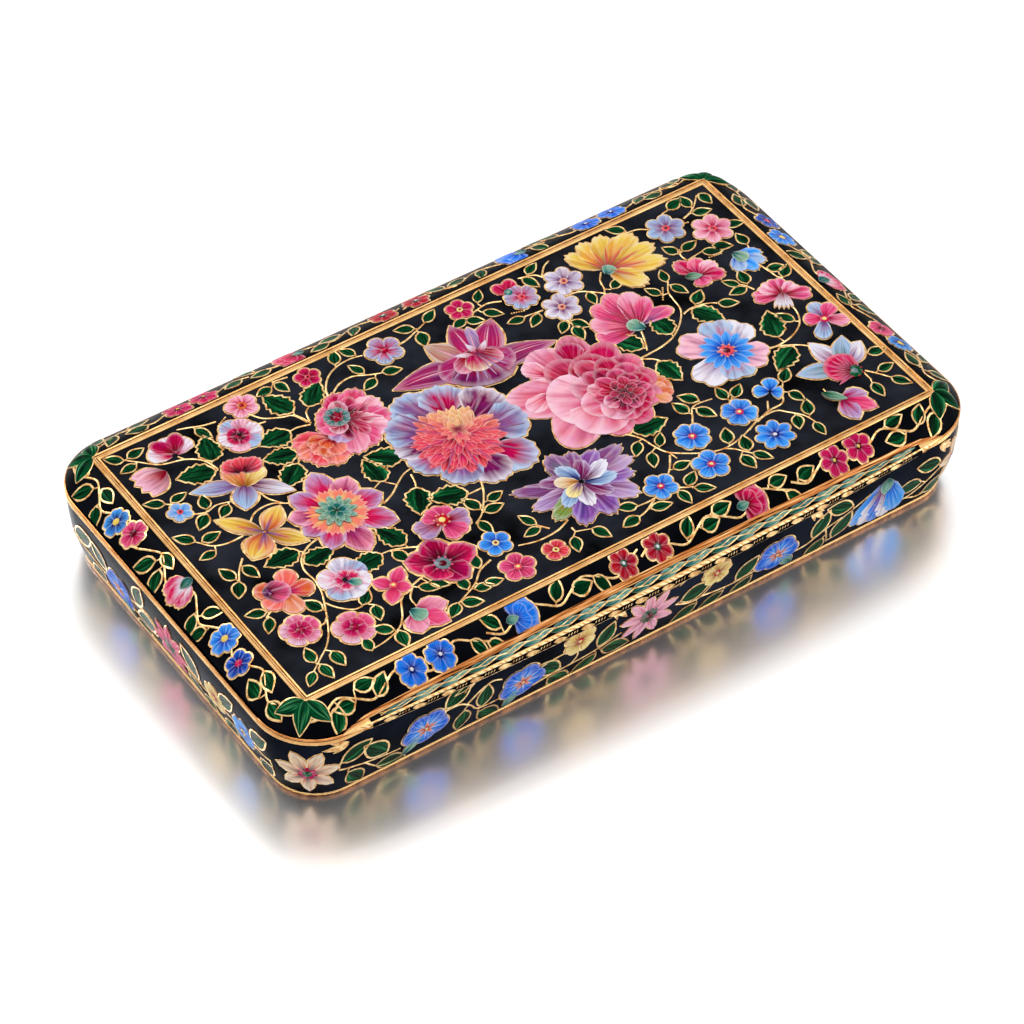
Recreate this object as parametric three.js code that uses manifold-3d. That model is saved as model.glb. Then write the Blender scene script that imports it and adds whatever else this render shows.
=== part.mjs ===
// A slim gold snuff box with fired enamel, in millimetres, +Z up.
// The long side runs along X, the thumb lip is at -Y and the hinge at +Y.
// The origin is the middle of the flat face that the box rests on.
import * as THREE from 'three';
import { mergeVertices } from 'three/addons/utils/BufferGeometryUtils.js';
import Module from 'manifold-3d';

const wasm = await Module();
wasm.setup();

// Case
const LENGTH = 90;
const WIDTH = 51.3;
const CORNER_RADIUS = 7.1;
const SEAM_Z = 10.31;
const SEAM_GAP = 0.16;
const CORNER_STEPS = 8;
const SKIN_GAP = 0.05;
const RUNNING_GAP = 0.3;

// Base
const FOOT_INSET = 1.75;
const WALL_CURVE = 2.2;
const WALL_ENAMEL = 0.33;
const WALL_METAL = 0.55;
const WALL_SET_IN = 0.12;
const BEAD_RADIUS = 0.27;
const FOOT_RIM_HEIGHT = 0.6;
const FOOT_RIM_WIDTH = 0.8;
const FOOT_RIM_PROUD = 0.3;
const BOTTOM_PANEL_THICKNESS = 0.55;
const FLOOR_THICKNESS = 0.45;
const FLOOR_BED = 0.03;
const BEZEL_THICKNESS = 0.5;
const BEZEL_HEIGHT = 0.9;

// Lid
const PANEL_Z = 13.05;
const BORDER_WIDTH = 3.95;
const BORDER_CURVE = 1.5;
const BORDER_EDGE_RISE = 0.3;
const LID_WIRE_RADIUS = 0.14;
const LID_ENAMEL = 0.45;
const LID_METAL = 0.45;
const LINING_THICKNESS = 0.25;
const LID_RIM_WIDTH = 2.4;
const FILLET_WIDTH = 0.92;
const FILLET_RISE = 0.2;
const FILLET_CORNER = 0.1;

// Hinge
const KNUCKLES = 9;
const KNUCKLE_PITCH = 7.3;
const KNUCKLE_RADIUS = 0.95;
const HINGE_DROP = 1.2;
const HINGE_SET_IN = 0.25;
const KNUCKLE_LEAF = 1.2;
const PIN_RADIUS = 0.38;
const PIN_CLEARANCE = 0.08;
const PIN_SIDES = 14;
const CAP_LENGTH = 1.1;
const CAP_BORE_DEPTH = 0.6;

// Thumb lip
const LIP_HALF_LENGTH = 38.9;
const LIP_PROUD = 1.45;
const LIP_REACH = 0.85;
const LIP_BAND_WIDTH = 0.6;
const LIP_THICKNESS = 0.42;
const LIP_EDGE_STEP = 0.05;
const LIP_TIP_SWELL = 0.12;
const LIP_STEPS = 24;
const INLAY_DEPTH = 0.14;
const INLAY_SWELL = 0.3;

// Corner leaves
const LEAF_MIDDLE_LENGTH = 2.35;
const LEAF_SIDE_LENGTH = 3.1;
const LEAF_NOTCH = 0.42;
const LEAF_ROOT = 0.12;
const LEAF_SPREAD = 68;
const LEAF_RISE = 0.42;
const LEAF_LOBES = 3;
const LEAF_STEPS = 4;

// Heights and offsets that follow from the sizes above
const BASE_TOP = SEAM_Z - SEAM_GAP / 2;
const LID_BOTTOM = SEAM_Z + SEAM_GAP / 2;
const BEAD_Z = BASE_TOP - BEAD_RADIUS;
const FLOOR_BOTTOM = FOOT_RIM_HEIGHT + FLOOR_BED;
const FLOOR_TOP = FLOOR_BOTTOM + FLOOR_THICKNESS;
const AXIS_Z = SEAM_Z - HINGE_DROP;
const AXIS_Y = WIDTH / 2 - HINGE_SET_IN;
const POCKET_DEPTH = KNUCKLE_RADIUS + RUNNING_GAP;
const POCKET_FLOOR = AXIS_Z - POCKET_DEPTH;
const SHOULDER_BOTTOM = POCKET_FLOOR - WALL_METAL;
const SHELL_TOP = PANEL_Z - LID_ENAMEL;
const CEILING = SHELL_TOP - SKIN_GAP - LID_METAL;
const BORDER_FOOT = LID_BOTTOM + BORDER_EDGE_RISE;
const BEZEL_OUTER = LID_RIM_WIDTH + RUNNING_GAP;
const BEZEL_INNER = BEZEL_OUTER + BEZEL_THICKNESS;

const GOLD = { color: 0xd9a441, metalness: 1, roughness: 0.28 };
const PALE_GOLD = { color: 0xe8c98a, metalness: 1, roughness: 0.3 };
const BLACK_ENAMEL = { color: 0x08080b, metalness: 0, roughness: 0.22 };
const GREEN_ENAMEL = { color: 0x06502a, metalness: 0, roughness: 0.12 };
const TEAL_ENAMEL = { color: 0x1b6d66, metalness: 0, roughness: 0.2 };

const box = new THREE.Group();

function addPiece(name, geometry, finish) {
  const mesh = new THREE.Mesh(geometry, new THREE.MeshStandardMaterial(finish));
  mesh.name = name;
  box.add(mesh);
  return mesh;
}

function bodyFrom(points, triangles) {
  const geometry = new THREE.BufferGeometry();
  const inverted = signedVolume(points, triangles) < 0;
  const faces = inverted ? triangles.map(([a, b, c]) => [a, c, b]) : triangles;
  geometry.setAttribute('position', new THREE.Float32BufferAttribute(points.flat(), 3));
  geometry.setIndex(faces.flat());
  return geometry;
}

function signedVolume(points, triangles) {
  const corner = index => new THREE.Vector3(...points[index]);
  return triangles.reduce((sum, [a, b, c]) => sum + corner(a).dot(corner(b).cross(corner(c))), 0);
}

function toSolid(geometry) {
  const bare = geometry.clone();
  bare.deleteAttribute('normal');
  bare.deleteAttribute('uv');
  const merged = mergeVertices(bare, 1e-5);
  const vertProperties = new Float32Array(merged.attributes.position.array);
  const triVerts = new Uint32Array(merged.index.array);
  return new wasm.Manifold(new wasm.Mesh({ numProp: 3, vertProperties, triVerts }));
}

function toGeometry(solid) {
  const mesh = solid.getMesh();
  const geometry = new THREE.BufferGeometry();
  geometry.setAttribute('position', new THREE.BufferAttribute(mesh.vertProperties, 3));
  geometry.setIndex(new THREE.BufferAttribute(mesh.triVerts, 1));
  return geometry;
}

// A rounded rectangle round the case, set in from its widest outline
function outline(inset, radius, z) {
  const halfX = LENGTH / 2 - inset;
  const halfY = WIDTH / 2 - inset;
  const signs = [[1, 1], [-1, 1], [-1, -1], [1, -1]];
  return signs.flatMap(([sx, sy], corner) => {
    const centre = [sx * (halfX - radius), sy * (halfY - radius)];
    return Array.from({ length: CORNER_STEPS + 1 }, (_, step) => {
      const angle = (corner + step / CORNER_STEPS) * Math.PI / 2;
      return [centre[0] + radius * Math.cos(angle), centre[1] + radius * Math.sin(angle), z];
    });
  });
}

const baseLoop = ([inset, z]) => outline(inset, CORNER_RADIUS - inset, z);

// The lid's loops tighten towards the square corners of its panel
function lidLoop([inset, z]) {
  const share = THREE.MathUtils.clamp(inset / BORDER_WIDTH, -1, 1);
  return outline(inset, THREE.MathUtils.lerp(CORNER_RADIUS, FILLET_CORNER, share), z);
}

// Joins loops of equal point counts, one to the next
function skin(loops, closed) {
  const count = loops[0].length;
  const last = closed ? loops.length : loops.length - 1;
  const triangles = [];
  for (let row = 0; row < last; row += 1) {
    const next = (row + 1) % loops.length;
    for (let i = 0; i < count; i += 1) {
      const j = (i + 1) % count;
      triangles.push([row * count + i, row * count + j, next * count + j]);
      triangles.push([row * count + i, next * count + j, next * count + i]);
    }
  }
  return triangles;
}

function fan(loops, row, reversed) {
  const count = loops[0].length;
  const triangles = [];
  for (let i = 1; i < count - 1; i += 1) {
    const face = [row * count, row * count + i, row * count + i + 1];
    triangles.push(reversed ? face.reverse() : face);
  }
  return triangles;
}

// A frame that runs all the way round, from a closed profile of [inset, z]
function ring(profile, loop) {
  const loops = profile.map(loop);
  return bodyFrom(loops.flat(), skin(loops, true));
}

// A plate or dish, from a profile that starts and ends at a flat face
function dish(profile, loop) {
  const loops = profile.map(loop);
  const triangles = [...skin(loops, false), ...fan(loops, 0, true), ...fan(loops, loops.length - 1, false)];
  return bodyFrom(loops.flat(), triangles);
}

// Pieces lofted along X through sections of [y, z] points
function loft(sections) {
  const loops = sections.map(({ x, points }) => points.map(([y, z]) => [x, y, z]));
  const cap = (row, reversed) => {
    const section = sections[row].points.map(([y, z]) => new THREE.Vector2(y, z));
    const first = row * section.length;
    const flipped = THREE.ShapeUtils.isClockWise(section) !== reversed;
    const faces = THREE.ShapeUtils.triangulateShape(section, []);
    return faces.map(([a, b, c]) => (flipped ? [c, b, a] : [a, b, c]).map(index => first + index));
  };
  return bodyFrom(loops.flat(), [...skin(loops, false), ...cap(0, true), ...cap(loops.length - 1, false)]);
}

function wireProfile(inset, z, radius) {
  return Array.from({ length: 8 }, (_, step) => {
    const angle = (step + 0.5) * Math.PI / 4;
    const reach = radius / Math.cos(Math.PI / 8);
    return [inset + reach * Math.cos(angle), z + reach * Math.sin(angle)];
  });
}

function spread(low, high, count) {
  return Array.from({ length: count }, (_, i) => low + (high - low) * i / (count - 1));
}

// The wall leans in towards the foot
const wallInset = z => FOOT_INSET * Math.max(0, 1 - z / BEAD_Z) ** WALL_CURVE;

// The sloping border of the lid rises in a shallow curve to the panel
function borderZ(inset) {
  const share = THREE.MathUtils.clamp((inset - WALL_SET_IN) / (BORDER_WIDTH - WALL_SET_IN), 0, 1);
  return BORDER_FOOT + (PANEL_Z - BORDER_FOOT) * (1 - (1 - share) ** BORDER_CURVE);
}

// The inset at which the border reaches a height
function borderInset(z) {
  const rise = THREE.MathUtils.clamp((z - BORDER_FOOT) / (PANEL_Z - BORDER_FOOT), 0, 1);
  return WALL_SET_IN + (BORDER_WIDTH - WALL_SET_IN) * (1 - (1 - rise) ** (1 / BORDER_CURVE));
}

// Width of the pocket that the hinge lies in
const HINGE_LENGTH = KNUCKLES * KNUCKLE_PITCH;
const POCKET_LENGTH = HINGE_LENGTH + 2 * CAP_LENGTH + RUNNING_GAP;

function hingePocket() {
  const back = WIDTH / 2 - HINGE_SET_IN - KNUCKLE_LEAF;
  const depth = KNUCKLE_LEAF + 4 * KNUCKLE_RADIUS;
  const height = 2 * SEAM_Z - POCKET_FLOOR;
  const geometry = new THREE.BoxGeometry(POCKET_LENGTH, depth, height);
  return toSolid(geometry.translate(0, back + depth / 2, POCKET_FLOOR + height / 2));
}

function cutForHinge(geometry) {
  return toGeometry(toSolid(geometry).subtract(hingePocket()));
}

function baseBody() {
  const wallLevels = spread(FLOOR_TOP, SHOULDER_BOTTOM, 6);
  const metalOuter = WALL_SET_IN + WALL_ENAMEL + SKIN_GAP;
  const beadInner = 2 * BEAD_RADIUS + SKIN_GAP;
  const shoulderInner = BEZEL_OUTER - SKIN_GAP;
  const wallBand = [
    ...wallLevels.map(z => [wallInset(z) + metalOuter, z]),
    [wallInset(BEAD_Z - BEAD_RADIUS) + metalOuter, BEAD_Z - BEAD_RADIUS - SKIN_GAP],
    [beadInner, BEAD_Z - BEAD_RADIUS - SKIN_GAP],
    [beadInner, BASE_TOP],
    [shoulderInner, BASE_TOP],
    [shoulderInner, SHOULDER_BOTTOM],
    ...wallLevels.toReversed().map(z => [wallInset(z) + metalOuter + WALL_METAL, z])
  ];
  addPiece('base_wall_band', cutForHinge(ring(wallBand, baseLoop)), GOLD);

  const enamelLevels = spread(FOOT_RIM_HEIGHT + SKIN_GAP, BEAD_Z - BEAD_RADIUS - SKIN_GAP, 7);
  const wallEnamel = [
    ...enamelLevels.map(z => [wallInset(z) + WALL_SET_IN, z]),
    ...enamelLevels.toReversed().map(z => [wallInset(z) + WALL_SET_IN + WALL_ENAMEL, z])
  ];
  addPiece('base_wall_enamel', cutForHinge(ring(wallEnamel, baseLoop)), BLACK_ENAMEL);

  const bead = wireProfile(BEAD_RADIUS, BEAD_Z, BEAD_RADIUS);
  addPiece('base_rim_bead', cutForHinge(ring(bead, baseLoop)), PALE_GOLD);

  const rimOuter = FOOT_INSET + WALL_SET_IN - FOOT_RIM_PROUD;
  const rimInner = rimOuter + FOOT_RIM_WIDTH;
  const chamfer = FOOT_RIM_HEIGHT / 4;
  const footRim = [
    [rimOuter + chamfer, 0],
    [rimOuter, chamfer],
    [rimOuter, FOOT_RIM_HEIGHT - chamfer],
    [rimOuter + chamfer, FOOT_RIM_HEIGHT],
    [rimInner, FOOT_RIM_HEIGHT],
    [rimInner, 0]
  ];
  addPiece('base_foot_rim', ring(footRim, baseLoop), GOLD);

  const panelEdge = rimInner + SKIN_GAP;
  const panel = [[panelEdge, 0], [panelEdge, BOTTOM_PANEL_THICKNESS]];
  addPiece('base_bottom_enamel', dish(panel, baseLoop), BLACK_ENAMEL);

  const plateEdge = wallInset(FLOOR_BOTTOM) + metalOuter + SKIN_GAP;
  const plate = [[plateEdge, FLOOR_BOTTOM], [plateEdge, FLOOR_TOP]];
  addPiece('base_floor_plate', dish(plate, baseLoop), GOLD);

  const bezel = [
    [BEZEL_OUTER, FLOOR_TOP],
    [BEZEL_OUTER, BASE_TOP + BEZEL_HEIGHT - BEZEL_THICKNESS / 2],
    [BEZEL_OUTER + BEZEL_THICKNESS / 4, BASE_TOP + BEZEL_HEIGHT],
    [BEZEL_INNER, BASE_TOP + BEZEL_HEIGHT],
    [BEZEL_INNER, FLOOR_TOP]
  ];
  addPiece('base_bezel', ring(bezel, baseLoop), GOLD);
}

function lidBody() {
  const wireOuter = 2 * LID_WIRE_RADIUS + SKIN_GAP;
  const lowestBacking = borderInset(LID_BOTTOM + LID_ENAMEL + 2 * SKIN_GAP);
  const shellEdge = Math.max(lowestBacking, wireOuter + LID_ENAMEL / 2);
  const insets = spread(shellEdge, BORDER_WIDTH, 6);
  const shellDrop = LID_ENAMEL + SKIN_GAP;
  const innerInsets = insets.filter(inset => inset > LID_RIM_WIDTH);
  const shell = [
    [BORDER_WIDTH + FILLET_WIDTH, SHELL_TOP - SKIN_GAP],
    ...insets.toReversed().map(inset => [inset, borderZ(inset) - shellDrop]),
    [shellEdge, LID_BOTTOM],
    [LID_RIM_WIDTH, LID_BOTTOM],
    [LID_RIM_WIDTH, borderZ(LID_RIM_WIDTH) - shellDrop - LID_METAL],
    ...innerInsets.map(inset => [inset, Math.min(borderZ(inset) - shellDrop - LID_METAL, CEILING)]),
    [BORDER_WIDTH + FILLET_WIDTH, CEILING]
  ];
  addPiece('lid_shell', dish(shell, lidLoop), GOLD);

  const borderEnamel = [
    [wireOuter, LID_BOTTOM],
    ...spread(wireOuter, BORDER_WIDTH, 7).map(inset => [inset, borderZ(inset)]),
    ...insets.toReversed().map(inset => [inset, borderZ(inset) - LID_ENAMEL]),
    [shellEdge - SKIN_GAP, borderZ(shellEdge) - LID_ENAMEL],
    [shellEdge - SKIN_GAP, LID_BOTTOM]
  ];
  addPiece('lid_border_enamel', ring(borderEnamel, lidLoop), BLACK_ENAMEL);

  const wire = wireProfile(LID_WIRE_RADIUS, LID_BOTTOM + LID_WIRE_RADIUS, LID_WIRE_RADIUS);
  addPiece('lid_rim_wire', ring(wire, lidLoop), GOLD);

  const squareLoop = ([inset, z]) => outline(BORDER_WIDTH + SKIN_GAP + inset, SKIN_GAP, z);
  const halfShares = [[0, 0], [0, 0.4], [0.12, 1], [0.3, 0.9], [0.42, 0.4]];
  const shares = [...halfShares, ...halfShares.toReversed().map(([across, up]) => [1 - across, up])];
  const filletProfile = shares.map(([across, up]) => [
    across * FILLET_WIDTH,
    up > 0 ? PANEL_Z + up * FILLET_RISE - FILLET_RISE / 4 : SHELL_TOP
  ]);
  addPiece('lid_fillet', ring(filletProfile, squareLoop), PALE_GOLD);

  const panelEdge = FILLET_WIDTH + SKIN_GAP;
  const topPanel = [[panelEdge, SHELL_TOP], [panelEdge, PANEL_Z]];
  addPiece('lid_top_enamel', dish(topPanel, squareLoop), BLACK_ENAMEL);

  const lining = [[BORDER_WIDTH, CEILING - LINING_THICKNESS], [BORDER_WIDTH, CEILING]];
  addPiece('lid_lining', dish(lining, lidLoop), GOLD);
}

// Where a plan point of the border lies between the rim (0) and the panel (1)
function borderShare(x, y) {
  let low = 0;
  let high = 1;
  for (let pass = 0; pass < 30; pass += 1) {
    const share = (low + high) / 2;
    const inset = share * BORDER_WIDTH;
    const radius = THREE.MathUtils.lerp(CORNER_RADIUS, FILLET_CORNER, share);
    const dx = Math.abs(x) - (LENGTH / 2 - inset - radius);
    const dy = Math.abs(y) - (WIDTH / 2 - inset - radius);
    const outside = Math.hypot(Math.max(dx, 0), Math.max(dy, 0)) - radius + Math.min(Math.max(dx, dy), 0);
    if (outside > 0) high = share;
    else low = share;
  }
  return (low + high) / 2;
}

// A closed body over a grid of plan points, with its underside draped over the border
function drape(rows) {
  const columns = rows[0].length;
  const floorZ = (x, y) => borderZ(borderShare(x, y) * BORDER_WIDTH) + 2 * SKIN_GAP;
  const below = rows.flat().map(({ x, y }) => [x, y, floorZ(x, y)]);
  const above = rows.flat().map(({ x, y, crown }) => [x, y, floorZ(x, y) + crown]);
  const top = below.length;
  const triangles = [];
  const quad = (a, b, c, d) => triangles.push([a, b, c], [a, c, d]);
  for (let row = 0; row < rows.length - 1; row += 1) {
    for (let column = 0; column < columns - 1; column += 1) {
      const at = row * columns + column;
      quad(top + at, top + at + columns, top + at + columns + 1, top + at + 1);
      quad(at, at + 1, at + columns + 1, at + columns);
    }
    const left = row * columns;
    const right = left + columns - 1;
    quad(left, left + columns, top + left + columns, top + left);
    quad(right, top + right, top + right + columns, right + columns);
  }
  for (let column = 0; column < columns - 1; column += 1) {
    const last = (rows.length - 1) * columns + column;
    quad(column, top + column, top + column + 1, column + 1);
    quad(last, last + 1, top + last + 1, top + last);
  }
  return bodyFrom([...below, ...above], triangles);
}

// A leaf of pointed lobes, each crowned along its middle, that fans out from a corner of the panel
function cornerLeaf(root, outward) {
  const turns = spread(-LEAF_LOBES / 2, LEAF_LOBES / 2, LEAF_LOBES * LEAF_STEPS + 1);
  const rows = spread(LEAF_ROOT, 1, LEAF_STEPS).map(share => turns.map(turn => {
    const fromMiddle = 2 * Math.abs(turn - Math.round(turn));
    const lobe = THREE.MathUtils.lerp(LEAF_MIDDLE_LENGTH, LEAF_SIDE_LENGTH, Math.min(Math.abs(turn), 1));
    const length = lobe * THREE.MathUtils.lerp(1, LEAF_NOTCH, fromMiddle ** 0.8);
    const angle = outward + THREE.MathUtils.degToRad(turn * LEAF_SPREAD);
    const crown = LEAF_RISE * (1 - 0.7 * fromMiddle) * (0.25 + 0.75 * Math.sin(Math.PI * share ** 0.8));
    const reach = length * share;
    return { x: root.x + reach * Math.cos(angle), y: root.y + reach * Math.sin(angle), crown };
  }));
  return drape(rows);
}

function cornerLeaves() {
  const corners = { front_left: [-1, -1], front_right: [1, -1], back_left: [-1, 1], back_right: [1, 1] };
  for (const [place, [sx, sy]] of Object.entries(corners)) {
    const inset = BORDER_WIDTH - SKIN_GAP;
    const root = { x: sx * (LENGTH / 2 - inset), y: sy * (WIDTH / 2 - inset) };
    addPiece(`lid_corner_leaf_${place}`, cornerLeaf(root, Math.atan2(sy, sx)), GREEN_ENAMEL);
  }
}

// A knuckle is a bored barrel with a leaf: down into the base's pocket, or up to the lid's rim
function knuckle(onBase, length) {
  const reach = onBase ? KNUCKLE_LEAF : KNUCKLE_RADIUS;
  const rise = onBase ? POCKET_DEPTH : LID_BOTTOM - AXIS_Z;
  const side = onBase ? -1 : 1;
  const leafY = HINGE_SET_IN * 0.8;
  const leafAngle = Math.acos(leafY / KNUCKLE_RADIUS);
  const shape = new THREE.Shape();
  shape.moveTo(leafY, side * rise);
  shape.lineTo(-reach, side * rise);
  if (onBase) shape.lineTo(-reach, 0);
  shape.absarc(0, 0, KNUCKLE_RADIUS, Math.PI, side * leafAngle, onBase);
  const boreRadius = PIN_RADIUS + PIN_CLEARANCE;
  const borePoints = Array.from({ length: PIN_SIDES }, (_, step) => {
    const angle = -side * (step + 0.5) / PIN_SIDES * Math.PI * 2;
    return new THREE.Vector2(boreRadius * Math.cos(angle), boreRadius * Math.sin(angle));
  });
  shape.holes.push(new THREE.Path(borePoints));
  const options = { depth: length, bevelEnabled: false, curveSegments: PIN_SIDES };
  const geometry = new THREE.ExtrudeGeometry(shape, options);
  geometry.applyMatrix4(new THREE.Matrix4().makeBasis(
    new THREE.Vector3(0, 1, 0),
    new THREE.Vector3(0, 0, 1),
    new THREE.Vector3(1, 0, 0)
  ));
  return geometry.translate(-length / 2, 0, 0);
}

function hinge() {
  const length = KNUCKLE_PITCH - RUNNING_GAP;
  for (let index = 0; index < KNUCKLES; index += 1) {
    const onBase = index % 2 === 0;
    const name = `${onBase ? 'base' : 'lid'}_hinge_knuckle_${Math.floor(index / 2) + 1}`;
    const x = (index - (KNUCKLES - 1) / 2) * KNUCKLE_PITCH;
    const mesh = addPiece(name, knuckle(onBase, length), GOLD);
    mesh.position.set(x, AXIS_Y, AXIS_Z);
  }

  const pinHalf = HINGE_LENGTH / 2 + CAP_BORE_DEPTH - RUNNING_GAP;
  const pinShape = new THREE.CylinderGeometry(PIN_RADIUS, PIN_RADIUS, 2 * pinHalf, PIN_SIDES);
  const pin = addPiece('hinge_pin', pinShape, GOLD);
  pin.rotation.z = Math.PI / 2;
  pin.position.set(0, AXIS_Y, AXIS_Z);

  const boreRadius = PIN_RADIUS + PIN_CLEARANCE;
  const bore = [[0, CAP_BORE_DEPTH], [boreRadius, CAP_BORE_DEPTH], [boreRadius, 0]];
  const domeSteps = spread(0, Math.PI / 2, 5);
  const domeHeight = CAP_LENGTH - CAP_BORE_DEPTH / 2;
  const dome = domeSteps.map(angle => [
    KNUCKLE_RADIUS * Math.cos(angle),
    CAP_LENGTH - domeHeight + domeHeight * Math.sin(angle)
  ]);
  const profile = [...bore, [KNUCKLE_RADIUS, 0], ...dome];
  const points = profile.map(([r, h]) => new THREE.Vector2(r, h));
  points.at(-1).x = 0;
  for (const [place, side] of [['left', -1], ['right', 1]]) {
    const cap = addPiece(`hinge_end_cap_${place}`, new THREE.LatheGeometry(points, PIN_SIDES), PALE_GOLD);
    cap.rotation.z = -side * Math.PI / 2;
    cap.position.set(side * HINGE_LENGTH / 2, AXIS_Y, AXIS_Z);
  }
}

// The lip swells from a slim tip at each end to its full size in the middle
const LIP_POWER = 0.8;
const tipShare = 1 - LIP_TIP_SWELL ** (1 / LIP_POWER);
const lipSwell = x => (1 - tipShare * (x / LIP_HALF_LENGTH) ** 2) ** LIP_POWER;

// Section of the lip at one place: along the border, over the band, valley and ridge, down the front
function lipSection(x) {
  const swell = lipSwell(x);
  const reach = WALL_SET_IN + LIP_REACH * swell ** 0.35;
  const proud = LIP_PROUD * swell;
  const crest = LIP_THICKNESS * (0.55 + 0.45 * swell);
  const foot = borderZ(WALL_SET_IN) + SKIN_GAP;
  const low = LID_BOTTOM - SEAM_GAP * swell;
  const onBorder = (inset, rise) => [inset, borderZ(Math.max(inset, WALL_SET_IN)) + SKIN_GAP + rise];
  const bandEdge = reach - LIP_BAND_WIDTH * swell ** 0.35;
  const depth = INLAY_DEPTH * Math.min(1, swell / INLAY_SWELL);
  const step = LIP_EDGE_STEP;
  return {
    depth,
    back: [[-SKIN_GAP, LID_BOTTOM], [-SKIN_GAP, foot]],
    under: spread(WALL_SET_IN, reach, 3).map(inset => onBorder(inset, 0)),
    band: [onBorder(reach - step, crest), onBorder(bandEdge + step, crest)],
    valley: [onBorder(bandEdge, crest * 0.75), [-0.5 * proud, foot + crest * 0.5]],
    ridge: [[-0.6 * proud - step, foot + crest], [-0.78 * proud - step, foot + crest]],
    front: [[-0.86 * proud - 2 * step, foot + crest * 0.55], [-proud - 3 * step, low + crest / 3]],
    foot: [[-proud - 2 * step, low], [-0.5 * proud - 2 * step, low]]
  };
}

// A section's [inset, z] points as [y, z] on the front side
const onFront = points => points.map(([inset, z]) => [inset - WIDTH / 2, z]);

function thumbLip() {
  const along = (reach, count) => spread(-1, 1, count).map(share => Math.sin(share * Math.PI / 2) * reach);
  const body = along(LIP_HALF_LENGTH, LIP_STEPS + 1).map(x => {
    const part = lipSection(x);
    const sunkValley = part.valley.map(([inset, z]) => [inset, z - part.depth]);
    const sunkFront = part.front.map(([inset, z]) => [inset + part.depth, z]);
    const valley = [part.valley[0], ...sunkValley, part.valley[1]];
    const front = [part.front[0], ...sunkFront, part.front[1]];
    const top = [...part.band, ...valley, ...part.ridge];
    return { x, points: onFront([...part.back, ...part.under, ...top, ...front, ...part.foot]) };
  });
  addPiece('thumb_lip', loft(body), PALE_GOLD);

  const inlayReach = LIP_HALF_LENGTH * Math.sqrt((1 - INLAY_SWELL ** (1 / LIP_POWER)) / tipShare);
  const inlayPlaces = along(inlayReach, LIP_STEPS - 3);
  const gap = SKIN_GAP / 2;
  const leafBand = inlayPlaces.map(x => {
    const { valley: [high, low], depth } = lipSection(x);
    const upper = [[high[0] - gap, high[1]], [high[0] - gap, high[1] - depth + gap]];
    const lower = [[low[0] + gap, low[1] - depth + gap], [low[0] + gap, low[1]]];
    return { x, points: onFront([...upper, ...lower]) };
  });
  addPiece('thumb_lip_leaf_enamel', loft(leafBand), TEAL_ENAMEL);

  const dashBand = inlayPlaces.map(x => {
    const { front: [high, low], depth } = lipSection(x);
    const upper = [[high[0], high[1] - gap], [high[0] + depth - gap, high[1] - gap]];
    const lower = [[low[0] + depth - gap, low[1] + gap], [low[0], low[1] + gap]];
    return { x, points: onFront([...upper, ...lower]) };
  });
  addPiece('thumb_lip_dash_enamel', loft(dashBand), BLACK_ENAMEL);
}

baseBody();
lidBody();
cornerLeaves();
hinge();
thumbLip();

export default box;
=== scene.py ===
# %% [markdown]
# This box is a slim gold snuff box, covered all over with fired enamel. The ground is black.
# Sprays of flowers, leaves and gold stems lie on it in low relief.
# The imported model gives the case, lid, hinge and lip. This lesson dresses them: it makes the
# curved skins smooth, lays the ornament on them, and mixes the enamels and the golds.

import math
import random

import bmesh
import bpy
from mathutils import Matrix, Vector


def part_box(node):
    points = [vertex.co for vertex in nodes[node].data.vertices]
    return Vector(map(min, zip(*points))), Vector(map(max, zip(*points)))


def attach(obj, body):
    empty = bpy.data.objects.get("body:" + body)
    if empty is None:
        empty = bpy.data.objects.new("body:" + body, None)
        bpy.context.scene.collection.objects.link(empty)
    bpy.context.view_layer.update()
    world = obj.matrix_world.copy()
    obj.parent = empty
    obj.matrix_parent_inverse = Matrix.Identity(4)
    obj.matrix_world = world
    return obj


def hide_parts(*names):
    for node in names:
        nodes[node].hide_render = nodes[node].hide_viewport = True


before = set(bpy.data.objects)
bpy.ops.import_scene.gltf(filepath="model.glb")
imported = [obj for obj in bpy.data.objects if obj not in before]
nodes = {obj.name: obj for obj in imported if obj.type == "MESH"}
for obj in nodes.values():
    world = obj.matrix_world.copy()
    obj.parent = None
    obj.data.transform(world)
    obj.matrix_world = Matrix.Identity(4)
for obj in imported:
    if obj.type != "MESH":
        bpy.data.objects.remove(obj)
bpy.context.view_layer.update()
print("pieces in the packed model:", len(nodes))

# %% [markdown]
# The ornament is a tenth of a millimetre high, so all shaping is done in millimetres, and each
# finished mesh is brought to metres once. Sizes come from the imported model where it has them.
# The rest are the few curves that the case is drawn with.

# %% Sizes of the case, in millimetres
MM = 0.001
CORNER_RADIUS = 7.1
WALL_LEAN = 1.75
WALL_CURVE = 2.2
SKIN_SET_IN = 0.12
BORDER_CURVE = 1.5
ENAMEL_GAP = 0.05


def box_mm(node):
    """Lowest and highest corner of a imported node, in millimetres."""
    low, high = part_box(node)
    return low / MM, high / MM


wire_low, wire_high = box_mm("lid_rim_wire")
bead_low, bead_high = box_mm("base_rim_bead")
wall_low, wall_high = box_mm("base_wall_enamel")
foot_low, foot_high = box_mm("base_foot_rim")
panel_high = box_mm("lid_top_enamel")[1]
fillet_high = box_mm("lid_fillet")[1]
HALF_LENGTH = wire_high.x
HALF_WIDTH = wire_high.y
BEAD_RADIUS = (bead_high.z - bead_low.z) / 2
BEAD_Z = bead_high.z - BEAD_RADIUS
PANEL_Z = panel_high.z
BORDER_WIDTH = HALF_LENGTH - fillet_high.x - ENAMEL_GAP
BORDER_FOOT = 10.69
BORDER_LAST_RADIUS = 0.1
print("case", round(2 * HALF_LENGTH, 2), "by", round(2 * HALF_WIDTH, 2), "border", round(BORDER_WIDTH, 2))

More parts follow.
